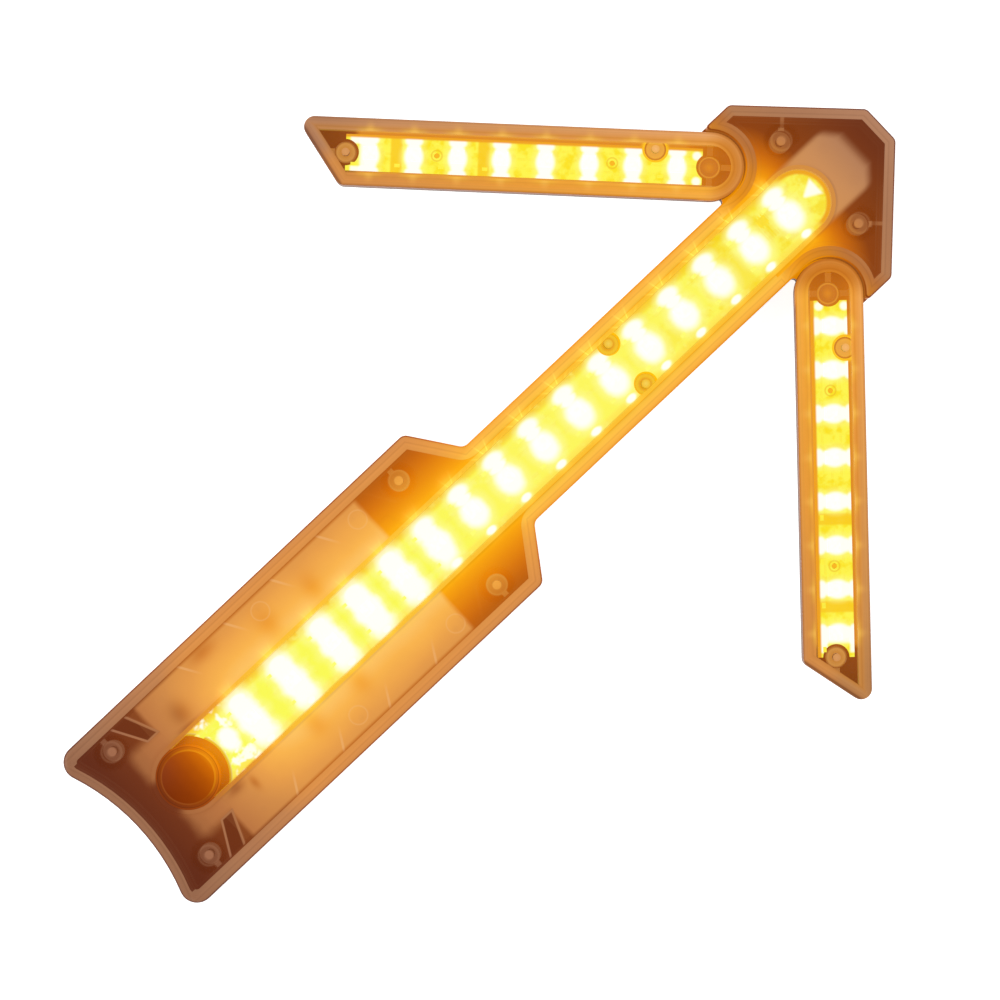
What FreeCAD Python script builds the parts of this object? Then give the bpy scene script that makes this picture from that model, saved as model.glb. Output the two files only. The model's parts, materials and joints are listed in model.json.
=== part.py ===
import FreeCAD, Part
import math
import os

V = FreeCAD.Vector

# Folding LED direction arrow, front face up.  Millimetres.
# +X runs along the shaft towards the arrow's tip, +Y is the left arm's side, +Z is the lit front.
# The origin lies on the rear face, midway between the two arm pivots.

# Driving dimensions: body outline.
TIP_X = 56.2
TIP_HALF = 7.75
HEAD_HALF = 43.5
SHAFT_HALF = 18.8
SHOULDER_X = -136.4
SHOULDER_RUN = 13.2
HOUSING_HALF = 37.5
TAIL_APEX_X = -319.0
TAIL_RADIUS = 84.6
PIVOT_Y = 31.9

# Corner radii of the body outline.
TIP_CORNER = 3.0
EAR_CORNER = 3.0
SHOULDER_CORNER = 3.5
TAIL_CORNER = 6.5
FLANK_CORNER = 1.2

# Driving dimensions: arms.
ARM_HALF = 12.5
ARM_INNER = 135.9
ARM_OUTER = 153.2
LEFT_OPEN = 45.7
RIGHT_OPEN = 48.0
OPEN_STOP = 48.2

# Driving dimensions: heights.
FRONT_Z = 27.0
PART_Z = 11.0
CEILING_Z = 24.6
FLOOR = 2.4
BOARD_Z = 20.3
BOARD_THICK = 1.4
ARM_Z0 = 11.4
ARM_TOP = 25.4
ARM_BOARD_Z = 17.6
ARM_BOARD_THICK = 1.2

# Walls, rim band and clearances.
SKIN = 2.2
TONGUE_IN = 2.4
TONGUE_OUT = 4.5
TONGUE_FOOT_Z = 8.8
RIB_IN = 4.7
RIB_OUT = 5.9
RIB_FOOT_Z = 17.0
RIM_BAND = 5.0
RIM_STEP = 0.5
HEAD_RIM_BAND = 4.0
HEAD_RIM_X = -10.0
TAIL_RIM_BAND = 3.6
TAIL_RIM_X = -300.0
TAIL_RIM_HALF = 31.6
LIP_BAND = 2.4
LIP_STEP = 0.2
EDGE_ROUND = 1.5
POCKET_R = PIVOT_Y - SHAFT_HALF
LUG_R = HEAD_HALF - PIVOT_Y
NOTCH_R = 1.5

# Ribs: those under the front panel slant from (outer x, inner x) at the side to (outer y, inner y).
RIB_THICK = 0.9
TAIL_RIB_RUNS = ((-302.0, -294.9), (-294.6, -289.2))
TAIL_RIB_Y = (32.0, 19.4)
TAIL_RIB_DEPTH = 3.0
SIDE_RIB_X = -268.0
SIDE_RIB_PITCH = 23.3
SIDE_RIB_COUNT = 5
SIDE_RIB_RUN = 6.5
SIDE_RIB_Y = (32.0, 21.0)
SIDE_RIB_DEPTH = 1.2
FLOOR_RIB_X = (-25.0, -55.0, -95.0, -125.0)
FLOOR_RIB_THICK = 1.4
FLOOR_RIB_HALF = 14.5
FLOOR_RIB_TOP = 8.0

# Window and LED strip.
WINDOW_HALF = 12.05
WINDOW_END_X = 14.6
BUTTON_X = -293.0
BEAD = 1.5
BEAD_HEIGHT = 0.3
LENS_CLEAR = 0.1
LENS_FLANGE = 1.1
LENS_FLANGE_OUT = 0.7
LED_SIZE = 5.0
LED_THICK = 1.4
LED_WELL_R = 2.0
LED_WELL_DEPTH = 0.3
LED_FIRST_X = 9.0
LED_PITCH = 17.66
LED_COUNT = 14
LED_TAIL_PITCH = 20.35
BOARD_HALF = 12.6
BOARD_TIP_X = 42.4
BOARD_NOTCH_R = 16.0
BOARD_TIP_CUT = 6.0
BOARD_START = 4.0
RESISTOR_OFFSET = (-5.5, 6.5)
RESISTOR = (2.0, 1.25, 0.5)
CONTROLLER = (0.2, 4.0)
CONTROLLER_SIZE = (4.0, 3.2, 1.0)
CONTROLLER_LIFT = 0.2
CONTROLLER_LEG = (0.45, 1.2, 0.4)
CONTROLLER_LEG_PITCH = 1.2
CONTROLLER_LEG_Y = 1.9
SOCKET_Z = 16.3
BATTERY_SOCKET = (-166.0, -158.0, -5.0, 5.0)
ARM_SOCKET = (15.0, 21.0, 4.5, 9.5)

# Screws, bosses and posts.
BOSS_R = 4.0
PILOT_R = 1.65
SHANK_R = 1.45
SCREW_HEAD_R = 2.8
SHELL_SCREW_SEAT = 7.0
BOSS_END_Z = 12.0
BOSS_PILOT_END = 21.0
WINDOW_PILOT_END = 22.0
SCREW_HOLE_R = 1.8
SCREW_HEAD_CLEAR = 0.3
SHELL_SCREW_HEAD_Z = 5.0
SHELL_SCREW_END = 20.0
KEY_WIDTH = 2.2
KEY_LENGTH = 6.5
HEAD_KEY_LENGTH = 5.0
KEY_FOOT_Z = 19.0
TAIL_BOSS = (-307.3, 26.0)
SHOULDER_BOSS = (-162.3, 26.3)
HEAD_BOSS = (25.5, 20.8)
WINDOW_BOSS = (-71.7, 10.1)
BOARD_SCREW = (35.0, 8.0)
BOARD_POSTS = ((-10.0, 10.0), (-40.0, 10.0), (-110.0, 10.0), (-140.0, 10.0))
BOARD_POST_R = 2.0
BOARD_SCREW_POST_R = 3.0
BOARD_PILOT_R = 1.15
BOARD_PILOT_Z = 12.0
BOARD_HOLE_R = 1.3
BOARD_SCREW_HEAD = (2.2, 1.3)
BOARD_SCREW_R = 1.05
BOARD_SCREW_Z = 13.0
SLOT_WIDTH = 0.7
SLOT_REACH = 0.6
SLOT_SHARE = 0.45

# Battery bay.
BAY_X = -237.0
CHAMBER_LENGTH = 110.0
CHAMBER_HALF = 29.7
TRAY_WALL = 1.6
TRAY_TOP_Z = 19.9
TRAY_PLATE = 1.0
CELL_R = 7.15
CELL_LENGTH = 50.0
CELL_Z = 11.45
CELL_PITCH = 14.6
DOOR_LENGTH = 132.0
DOOR_HALF = 33.0
DOOR_THICK = 2.2
LEDGE_Z = 2.8
LEDGE_TOP = 4.0
DOOR_OPENING = 108.0
DOOR_OPENING_HALF = 30.0
DOOR_GAP = 0.3
DOOR_CORNER = 1.0
DOOR_GRIP = (1.0, 9.0, 0.6)
DOOR_GRIP_PITCH = 2.4
DOOR_SCREW = (62.0, 14.0)
DOOR_POST_R = 3.0
DOOR_POST_TOP = 9.0
DOOR_PILOT_R = 1.35
DOOR_PILOT_END = 8.4
DOOR_HOLE_R = 1.45
DOOR_SINK_R = 2.75
DOOR_SINK_DEPTH = 1.5
DOOR_SCREW_HEAD_R = 2.5
DOOR_SCREW_R = 1.2
DOOR_SCREW_SINK = 0.1
DOOR_SCREW_END = 8.0
DOOR_SEAL = (57.5, 32.4)
DOOR_SEAL_HOLE = (55.0, 30.6)
LEDGE_MARGIN_X = 1.5
LEDGE_MARGIN_Y = 2.0
TRAY_SCREW_X = (-184.5, -232.1, -281.0)
TRAY_SCREW_Y = 27.6
TRAY_SCREW = (17.8, 22.9, 1.8, 0.9)
TRAY_PAD = 2.5
TRAY_PAD_X = (-277.0, -237.0, -190.0)
TRAY_PAD_Y = 8.0
TRAY_LIFT = 0.1
TRAY_TAIL_WING = (7.0, 20.0)
TRAY_HEAD_WING = (3.0, 28.0)
TRAY_RIDGE_Z = 15.6
TRAY_RIDGE_THICK = 1.2
TRAY_WINDOW_X = 26.0
TRAY_WINDOW = (9.0, 2.5)
TRAY_BOSS_R = 2.8
TRAY_PILOT_R = 1.0
TRAY_PILOT_END = 23.4
TRAY_HOLE_R = 1.2
CELL_EDGE = 0.6
CELL_CAP_R = 2.75
CELL_CAP = 1.4
CELL_CAP_SHOWS = 1.2
CELL_GAP = 0.05
CELL_END_SPACE = 9.3
SPRING_RADII = (5.0, 4.5, 4.0, 3.5)
SPRING_START = 0.6
SPRING_PITCH = 2.1
SPRING_WIRE_R = 0.45
SPRING_BAR_R = 0.35
CONTACT_HALF = 6.2
CONTACT_THICK = 0.5
CONTACT_GAP = 0.05
BATTERY_LEAD_R = 0.8
BATTERY_LEAD_BEND = 1.6

# Pivot.
SPIGOT_R = 4.2
PIVOT_CLEAR = 0.06
SPIGOT_BORE = 2.4
SPIGOT_END = 4.8
LUG_PLATE_Z = 6.5
RING_Z = 5.65
RING_THICK = 0.7
RING_GROOVE_R = 3.5
LUG_CAVITY_R = 8.2
CAP_THICK = 1.6
CAP_MARGIN = 0.8
CAP_CLEAR = 0.1
CAP_SLOT = (3.0, 0.6, 0.6)
LEAD_R = 1.1
LEAD_Z = 3.6
LEAD_TOP_Z = 13.6
LEAD_ANGLE = 41.2
LEAD_REACH = 22.6
LEAD_BEND = 2.0
LEAD_START = (18.0, 9.5, 18.0)
LEAD_DROP_Y = 14.5
CHANNEL_LENGTH = 19.0
CHANNEL_HALF = 2.5
CHANNEL_TOP = 6.0
WASHER_BORE_CLEAR = 0.2
WASHER_R = 9.0
WASHER_GAP = 0.1
SNAP_RING_R = 6.6
SNAP_RING_GAP = 1.6
SNAP_RING_CLEAR = 0.02

# Arm details, measured from the pivot: (along the arm, towards its long side).
ARM_SIDE_BOSS = (20.1, 5.8)
ARM_TIP_BOSS = (134.0, 0.0)
ARM_WINDOW_INSET = 4.7
ARM_SKIN = 1.65
ARM_WALL_IN = 1.8
ARM_WALL_OUT = 3.0
ARM_PART_Z = 17.0
ARM_FLOOR_Z = 13.0
ARM_WALL_TOP = 21.4
ARM_LENS_Z = 22.0
ARM_CEILING = 23.2
ARM_BOARD_HALF = 6.7
ARM_BOARD_START = 2.6
ARM_LED_FIRST = 12.0
ARM_LED_PITCH = 16.15
ARM_LED_COUNT = 8
ARM_PIN_A = (35.8, 100.4)
ARM_NEAR_CORNER = 3.5
ARM_FAR_CORNER = 4.0
ARM_LIP_BAND = 2.4
ARM_LIP_STEP = 0.4
ARM_EDGE_ROUND = 1.1
ARM_CLEAR = 0.1
ARM_PLUG_DROP = 0.5
ARM_BOSS_Z = 16.4
ARM_POST_TOP = 16.2
ARM_PILOT_R = 1.45
ARM_PILOT_END = 21.0
ARM_KEY_Z = 19.2
ARM_HUB_KEY = 9.2
ARM_TIP_KEY = 6.0
ARM_NOTCH_R = 4.9
ARM_BOSS_CLEAR = 0.15
ARM_SEAL_INSET = 0.05
ARM_PIN_POST_R = 2.2
ARM_PIN_R = 0.9
ARM_PIN_HOLE_R = 1.0
ARM_PIN_RISE = 1.8
ARM_SCREW_HEAD = (2.4, 12.1, 13.9)
ARM_SCREW_HOLE_R = 1.5
ARM_SCREW_R = 1.25
ARM_SCREW_END = 20.4
ARM_RESISTOR = (6.0, -4.2)
PIGTAIL_R = 0.8
PIGTAIL_BEND = 0.9
PIGTAIL_PATH = ((0, 0, 13.8), (0, 0, 15.0), (11.0, 0, 15.2), (11.0, 0, ARM_BOARD_Z))

# Button.
CAP_R = 10.1
CAP_TOP = 29.0
BEZEL_R = 11.95
BEZEL_HOLE = 10.3
BEZEL_FLANGE_R = 15.0
BEZEL_TOP = 27.6
BEZEL_WELL_R = 11.0
BEZEL_WELL_TOP = 25.2
BEZEL_GROOVE = (11.1, 11.5, 0.4)
BEZEL_SEAL = 0.4
BEZEL_SEAL_CLEAR = 0.05
BEZEL_SEAL_GAP = 0.2
CAP_BASE = 24.1
CAP_DOME_R = 44.0
CAP_EDGE = 0.6
CAP_FLANGE_R = 10.8
CAP_FLANGE_TOP = 25.0
CAP_HOLLOW_R = 8.4
CAP_HOLLOW_TOP = 26.8
CAP_STEM_R = 2.4
CAP_WELD = 0.2
SWITCH_BOARD_R = 14.3
SWITCH_SIZE = (6.0, 6.0, 1.6)
SWITCH_WELL_R = 1.85
PLUNGER_R = 1.75
PLUNGER_Z = 22.8
JUMPER = (9.0, 17.0, 6.5, 9.5, 0.25)


# ---------------------------------------------------------------- helpers

def block(x0, x1, y0, y1, z0, z1):
    return Part.makeBox(x1 - x0, y1 - y0, z1 - z0, V(x0, y0, z0))


def disc(x, y, radius, z0, z1):
    return Part.makeCylinder(radius, z1 - z0, V(x, y, z0))


def ring(x, y, inner, outer, z0, z1):
    return disc(x, y, outer, z0, z1).cut(disc(x, y, inner, z0, z1))


def prism(face, z0, z1):
    base = face.copy()
    base.translate(V(0, 0, z0))
    return base.extrude(V(0, 0, z1 - z0))


def inset(face, amount):
    return face.makeOffset2D(-amount)


def band(face, outer_inset, inner_inset, z0, z1):
    """Wall that follows an outline, between two distances inside it."""
    outer = prism(inset(face, outer_inset), z0, z1) if outer_inset else prism(face, z0, z1)
    return outer.cut(prism(inset(face, inner_inset), z0, z1))


def stadium(x0, x1, radius, z0, z1):
    """Round-ended slot between two end centres on the X axis."""
    body = block(x0, x1, -radius, radius, z0, z1)
    return body.fuse([disc(x0, 0, radius, z0, z1), disc(x1, 0, radius, z0, z1)]).removeSplitter()


def mirror_y(shape):
    return shape.mirror(V(0, 0, 0), V(0, 1, 0))


def both_sides(points):
    """The given (x, y) points and their mirror images across the shaft."""
    return [(x, side * y) for x, y in points for side in (1, -1)]


def join(shape, others):
    return shape.fuse(others).removeSplitter()


def polar(centre, radius, degrees):
    angle = math.radians(degrees)
    return V(centre.x + radius * math.cos(angle), centre.y + radius * math.sin(angle), 0)


def line(start, end):
    return Part.LineSegment(start, end).toShape()


def arc(start, middle, end):
    return Part.Arc(start, middle, end).toShape()


def face_of(edges):
    return Part.Face(Part.Wire(Part.__sortEdges__(edges)))


def round_corners(face, corners):
    """Round the upright edges of a flat outline at the given (x, y, radius) corners."""
    solid = face.extrude(V(0, 0, 1))
    for x, y, radius in corners:
        picked = []
        for edge in solid.Edges:
            middle = edge.valueAt((edge.FirstParameter + edge.LastParameter) / 2)
            upright = abs(edge.Vertexes[0].Z - edge.Vertexes[-1].Z) > 0.5
            if upright and math.hypot(middle.x - x, middle.y - y) < 0.05:
                picked.append(edge)
        solid = solid.makeFillet(radius, picked)
    solid = solid.removeSplitter()
    flat = [f for f in solid.Faces if f.CenterOfMass.z < 1e-6]
    return Part.Face(flat[0].OuterWire)


def round_rim(solid, height, radius, outline):
    """Round the edge of a shell's front face where it follows the outline."""
    picked = []
    border = outline.OuterWire.copy()
    border.translate(V(0, 0, height))
    for edge in solid.Edges:
        middle = edge.valueAt((edge.FirstParameter + edge.LastParameter) / 2)
        if abs(middle.z - height) < 1e-6 and border.distToShape(Part.Vertex(middle))[0] < 1e-4:
            picked.append(edge)
    return solid.makeFillet(radius, picked)


def tube(points, radius, bend):
    """Round wire along straight runs joined by tangent arcs."""
    corners = [V(*p) for p in points]
    edges = []
    start = corners[0]
    for before, corner, after in zip(corners, corners[1:], corners[2:]):
        back = (before - corner).normalize()
        ahead = (after - corner).normalize()
        half_angle = back.getAngle(ahead) / 2
        reach = bend / math.tan(half_angle)
        first = corner + back * reach
        last = corner + ahead * reach
        to_centre = (back + ahead).normalize()
        middle = corner + to_centre * (bend / math.sin(half_angle) - bend)
        edges.append(line(start, first))
        edges.append(arc(first, middle, last))
        start = last
    edges.append(line(start, corners[-1]))
    spine = Part.Wire(edges)
    direction = corners[1] - corners[0]
    profile = Part.Wire(Part.makeCircle(radius, corners[0], direction))
    return spine.makePipeShell([profile], True, False)


def chip(x, y, z, length, width, height):
    return block(x - length / 2, x + length / 2, y - width / 2, y + width / 2, z, z + height)


def save(name, shape):
    solids = shape.Solids
    result = solids[0] if len(solids) == 1 else Part.makeCompound(solids)
    result.exportStep("parts/" + name + ".step")


# ---------------------------------------------------------------- body outline

def head_edges():
    """Upper half of the outline from the tip to the ear."""
    ear_x = TIP_X - (HEAD_HALF - TIP_HALF)
    tip = V(TIP_X, TIP_HALF, 0)
    ear = V(ear_x, HEAD_HALF, 0)
    return [line(V(TIP_X, 0, 0), tip), line(tip, ear)], ear


def tail_edges(start):
    """Upper half of the outline from the shaft's side to the middle of the hollow tail edge."""
    inner = V(SHOULDER_X, SHAFT_HALF, 0)
    outer = V(SHOULDER_X - SHOULDER_RUN, HOUSING_HALF, 0)
    centre_x = TAIL_APEX_X - TAIL_RADIUS
    corner = V(centre_x + math.sqrt(TAIL_RADIUS ** 2 - HOUSING_HALF ** 2), HOUSING_HALF, 0)
    centre = V(centre_x, 0, 0)
    half_angle = math.degrees(math.asin(HOUSING_HALF / TAIL_RADIUS)) / 2
    curve = arc(corner, polar(centre, TAIL_RADIUS, half_angle), V(TAIL_APEX_X, 0, 0))
    return [line(start, inner), line(inner, outer), line(outer, corner), curve], corner


def outline(side_edges, start, extra_corners):
    """Whole body outline: head, the given edges round the pivot, then the housing and tail."""
    head, ear = head_edges()
    tail, corner = tail_edges(start)
    upper = head + side_edges(ear) + tail
    face = face_of(upper + [mirror_y(edge) for edge in upper])
    corners = [(TIP_X, TIP_HALF, TIP_CORNER), (ear.x, ear.y, EAR_CORNER),
               (SHOULDER_X, SHAFT_HALF, SHOULDER_CORNER),
               (SHOULDER_X - SHOULDER_RUN, HOUSING_HALF, SHOULDER_CORNER),
               (corner.x, corner.y, TAIL_CORNER)] + extra_corners
    mirrored = [(x, -y, radius) for x, y, radius in corners]
    return round_corners(face, corners + mirrored)


def front_outline():
    """Outline of the front shell, with a round pocket and a stop flank for each arm."""
    pivot = V(0, PIVOT_Y, 0)
    flank_angle = 90 - OPEN_STOP
    foot = polar(pivot, POCKET_R, flank_angle)
    reach = (HEAD_HALF - foot.y) / math.cos(math.radians(flank_angle))
    edge_end = V(foot.x - reach * math.sin(math.radians(flank_angle)), HEAD_HALF, 0)
    shaft_start = V(0, SHAFT_HALF, 0)

    def pocket(ear):
        middle = polar(pivot, POCKET_R, (flank_angle - 90) / 2)
        return [line(ear, edge_end), line(edge_end, foot), arc(foot, middle, shaft_start)]

    return outline(pocket, shaft_start, [(edge_end.x, edge_end.y, FLANK_CORNER)])


def rear_outline():
    """Outline of the rear shell, with a round lug under the hinged end of each arm."""
    pivot = V(0, PIVOT_Y, 0)
    notch_y = SHAFT_HALF + NOTCH_R
    notch = V(-math.sqrt((LUG_R + NOTCH_R) ** 2 - (PIVOT_Y - notch_y) ** 2), notch_y, 0)
    to_pivot = (pivot - notch).normalize()
    lug_end = notch + to_pivot * NOTCH_R
    shaft_start = V(notch.x, SHAFT_HALF, 0)

    def lug(ear):
        top = V(0, HEAD_HALF, 0)
        bisector = (to_pivot + V(0, -1, 0)).normalize()
        return [line(ear, top), arc(top, V(-LUG_R, PIVOT_Y, 0), lug_end),
                arc(lug_end, notch + bisector * NOTCH_R, shaft_start)]

    return outline(lug, shaft_start, [])


FRONT = front_outline()
REAR = rear_outline()


# ---------------------------------------------------------------- shells

def key_rib(x, y, angle, length, z0, z1):
    """Short stiffening rib that runs from a boss towards a wall."""
    rib = block(0, length, -KEY_WIDTH / 2, KEY_WIDTH / 2, z0, z1)
    rib.rotate(V(0, 0, 0), V(0, 0, 1), angle)
    rib.translate(V(x, y, 0))
    return rib


def slanted_rib(x_outer, x_inner, heights, depth):
    """Thin rib under the front panel, slanting from the side wall inwards."""
    y_outer, y_inner = heights
    start = V(x_outer, y_outer, 0)
    end = V(x_inner, y_inner, 0)
    along = end - start
    rib = block(0, along.Length, -RIB_THICK / 2, RIB_THICK / 2, CEILING_Z - depth, CEILING_Z)
    rib.rotate(V(0, 0, 0), V(0, 0, 1), math.degrees(math.atan2(along.y, along.x)))
    rib.translate(start)
    return rib


def front_ribs():
    """Two pocket-shaped ribs by the tail and a row of slanted ribs along each side."""
    ribs = [slanted_rib(outer, inner, TAIL_RIB_Y, TAIL_RIB_DEPTH) for outer, inner in TAIL_RIB_RUNS]
    first, last = (inner for _, inner in TAIL_RIB_RUNS)
    foot = TAIL_RIB_Y[1]
    margin = RIB_THICK / 2
    ribs.append(block(first - margin, last + margin, foot - margin, foot + margin,
                      CEILING_Z - TAIL_RIB_DEPTH, CEILING_Z))
    for step in range(SIDE_RIB_COUNT):
        x = SIDE_RIB_X + SIDE_RIB_PITCH * step
        ribs.append(slanted_rib(x, x + SIDE_RIB_RUN, SIDE_RIB_Y, SIDE_RIB_DEPTH))
    return ribs + [mirror_y(rib) for rib in ribs]


def panel_recess():
    """Sunken middle of the front face; its border is narrower round the head and along the tail."""
    z0 = FRONT_Z - RIM_STEP
    recess = prism(inset(FRONT, RIM_BAND), z0, FRONT_Z)
    head = block(HEAD_RIM_X, TIP_X, -HEAD_HALF, HEAD_HALF, z0, FRONT_Z)
    head = head.common(prism(inset(FRONT, HEAD_RIM_BAND), z0, FRONT_Z))
    tail = block(TAIL_APEX_X - HOUSING_HALF, TAIL_RIM_X, -TAIL_RIM_HALF, TAIL_RIM_HALF, z0, FRONT_Z)
    tail = tail.common(prism(inset(FRONT, TAIL_RIM_BAND), z0, FRONT_Z))
    return join(recess, [head, tail])


def make_front_shell():
    shell = prism(FRONT, PART_Z, FRONT_Z)
    shell = shell.cut(prism(inset(FRONT, SKIN), PART_Z, CEILING_Z))
    shell = shell.fuse(band(FRONT, RIB_IN, RIB_OUT, RIB_FOOT_Z, CEILING_Z))
    shell = shell.cut(prism(inset(FRONT, LIP_BAND), FRONT_Z - LIP_STEP, FRONT_Z))
    shell = shell.cut(panel_recess())
    bosses = [disc(x, y, BOSS_R, BOSS_END_Z, CEILING_Z)
              for x, y in both_sides((TAIL_BOSS, SHOULDER_BOSS, HEAD_BOSS))]
    for side in (1, -1):
        for (x, y), angle, length in ((TAIL_BOSS, 90, KEY_LENGTH), (SHOULDER_BOSS, 90, KEY_LENGTH),
                                      (HEAD_BOSS, 45, HEAD_KEY_LENGTH)):
            bosses.append(key_rib(x, side * y, side * angle, length, KEY_FOOT_Z, CEILING_Z))
        bosses += [disc(x, side * TRAY_SCREW_Y, TRAY_BOSS_R, TRAY_TOP_Z, CEILING_Z) for x in TRAY_SCREW_X]
    shell = join(shell, bosses + front_ribs())
    bead_top = FRONT_Z + BEAD_HEIGHT
    shell = join(shell, [stadium(BUTTON_X, WINDOW_END_X, WINDOW_HALF + BEAD, CEILING_Z, bead_top)])
    shell = shell.cut(stadium(BUTTON_X, WINDOW_END_X, WINDOW_HALF, CEILING_Z - 1, FRONT_Z + 1))
    for x, y in both_sides((TAIL_BOSS, SHOULDER_BOSS, HEAD_BOSS)):
        shell = shell.cut(disc(x, y, PILOT_R, BOSS_END_Z, BOSS_PILOT_END))
    for x, y in both_sides((WINDOW_BOSS,)):
        shell = shell.cut(disc(x, y, BOSS_R + 0.2, PART_Z, CEILING_Z))
    for x, y in both_sides([(x, TRAY_SCREW_Y) for x in TRAY_SCREW_X]):
        shell = shell.cut(disc(x, y, TRAY_PILOT_R, TRAY_TOP_Z, TRAY_PILOT_END))
    return round_rim(shell, FRONT_Z, EDGE_ROUND, FRONT)


def lead_channel(side):
    """Slot through the wall between a pivot lug and the inside of the head."""
    channel = block(0, CHANNEL_LENGTH, -CHANNEL_HALF, CHANNEL_HALF, FLOOR, CHANNEL_TOP)
    channel.rotate(V(0, 0, 0), V(0, 0, 1), -side * LEAD_ANGLE)
    channel.translate(V(0, side * PIVOT_Y, 0))
    return channel


def make_rear_shell():
    shell = prism(REAR, 0, PART_Z)
    shell = shell.cut(prism(inset(FRONT, TONGUE_IN), FLOOR, TONGUE_FOOT_Z))
    shell = shell.cut(prism(inset(FRONT, TONGUE_OUT), TONGUE_FOOT_Z, PART_Z))
    shell = shell.fuse(band(FRONT, TONGUE_IN, TONGUE_OUT, PART_Z - 1, CEILING_Z - 1))
    posts = [disc(x, y, BOSS_R, 0, BOSS_END_Z - 0.1)
             for x, y in both_sides((TAIL_BOSS, SHOULDER_BOSS, HEAD_BOSS, WINDOW_BOSS))]
    posts += [disc(x, y, BOARD_SCREW_POST_R, 0, BOARD_Z) for x, y in both_sides((BOARD_SCREW,))]
    posts += [disc(x, y, BOARD_POST_R, 0, BOARD_Z) for x, y in both_sides(BOARD_POSTS)]
    half_door = DOOR_LENGTH / 2
    frame_x = half_door + LEDGE_MARGIN_X
    frame_y = DOOR_HALF + LEDGE_MARGIN_Y
    posts.append(block(BAY_X - frame_x, BAY_X + frame_x, -frame_y, frame_y, 0, LEDGE_TOP))
    posts += [disc(x, y, DOOR_POST_R, 0, DOOR_POST_TOP) for x, y in door_screw_places()]
    posts += [block(x - FLOOR_RIB_THICK / 2, x + FLOOR_RIB_THICK / 2, -FLOOR_RIB_HALF, FLOOR_RIB_HALF,
                    0, FLOOR_RIB_TOP) for x in FLOOR_RIB_X]
    shell = join(shell, posts)
    shell = shell.cut(block(BAY_X - half_door, BAY_X + half_door, -DOOR_HALF, DOOR_HALF, 0, LEDGE_Z))
    shell = shell.cut(block(BAY_X - DOOR_OPENING / 2, BAY_X + DOOR_OPENING / 2,
                            -DOOR_OPENING_HALF, DOOR_OPENING_HALF, 0, LEDGE_TOP))
    for x, y in door_screw_places():
        shell = shell.cut(disc(x, y, DOOR_PILOT_R, 0, DOOR_PILOT_END))
    for x, y in both_sides((TAIL_BOSS, SHOULDER_BOSS, HEAD_BOSS, WINDOW_BOSS)):
        shell = shell.cut(disc(x, y, SCREW_HEAD_R + SCREW_HEAD_CLEAR, 0, SHELL_SCREW_SEAT))
        shell = shell.cut(disc(x, y, SCREW_HOLE_R, 0, BOSS_END_Z))
    for x, y in both_sides((BOARD_SCREW,)):
        shell = shell.cut(disc(x, y, BOARD_PILOT_R, BOARD_PILOT_Z, BOARD_Z))
    for side in (1, -1):
        y = side * PIVOT_Y
        shell = shell.cut(disc(0, y, LUG_CAVITY_R + CAP_MARGIN, 0, CAP_THICK))
        shell = shell.cut(disc(0, y, LUG_CAVITY_R, 0, LUG_PLATE_Z))
        shell = shell.cut(disc(0, y, SPIGOT_R + PIVOT_CLEAR, 0, PART_Z))
        shell = shell.cut(lead_channel(side))
    return shell


def make_shell_gasket():
    return band(FRONT, TONGUE_IN + 0.1, TONGUE_OUT - 0.1, CEILING_Z - 1, CEILING_Z)


def make_window_lens():
    """Clear bar over the LED strip: a plug in the slot, a flange under it and two bosses."""
    flange_z = CEILING_Z - LENS_FLANGE
    lens = stadium(BUTTON_X, WINDOW_END_X, WINDOW_HALF - LENS_CLEAR, CEILING_Z, FRONT_Z + LENS_CLEAR)
    flange = stadium(BUTTON_X, WINDOW_END_X, WINDOW_HALF + LENS_FLANGE_OUT, flange_z, CEILING_Z)
    bosses = [disc(x, y, BOSS_R, BOSS_END_Z, CEILING_Z) for x, y in both_sides((WINDOW_BOSS,))]
    lens = join(lens, [flange] + bosses)
    for x, y in both_sides((WINDOW_BOSS,)):
        lens = lens.cut(disc(x, y, PILOT_R, BOSS_END_Z, WINDOW_PILOT_END))
    lens = lens.cut(disc(BUTTON_X, 0, BEZEL_R + 0.15, flange_z, FRONT_Z + 1))
    lens = lens.cut(block(BUTTON_X - 20, BUTTON_X, -20, 20, flange_z, FRONT_Z + 1))
    return lens.cut(disc(BUTTON_X, 0, BEZEL_FLANGE_R + 0.2, flange_z, CEILING_Z))


# ---------------------------------------------------------------- board and electrics

def led_places():
    """X of every LED column on the shaft: an even run, then two wider steps by the button."""
    even = [LED_FIRST_X - LED_PITCH * step for step in range(LED_COUNT)]
    return even + [even[-1] - LED_TAIL_PITCH * step for step in (1, 2)]


def make_main_board():
    z0, z1 = BOARD_Z, BOARD_Z + BOARD_THICK
    corner = BOARD_TIP_CUT
    reach = corner * (math.sqrt(2) - 1)
    board = block(BUTTON_X + BOARD_START, BOARD_TIP_X, -BOARD_HALF, BOARD_HALF, z0, z1)
    for side in (1, -1):
        wedge = block(-corner, corner, -corner, corner, z0, z1)
        wedge.rotate(V(0, 0, 0), V(0, 0, 1), 45)
        wedge.translate(V(BOARD_TIP_X + reach, side * (BOARD_HALF + reach), 0))
        board = board.cut(wedge)
    board = board.cut(disc(BUTTON_X, 0, BOARD_NOTCH_R, z0, z1))
    for x, y in both_sides((WINDOW_BOSS,)):
        board = board.cut(disc(x, y, BOSS_R + 0.5, z0, z1))
    for x, y in both_sides((BOARD_SCREW,)):
        board = board.cut(disc(x, y, BOARD_HOLE_R, z0, z1))
    return board


def led_package(x, y, z):
    """Square LED: a white body with a shallow round well."""
    body = chip(x, y, z, LED_SIZE, LED_SIZE, LED_THICK)
    return body.cut(disc(x, y, LED_WELL_R, z + LED_THICK - LED_WELL_DEPTH, z + LED_THICK))


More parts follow.
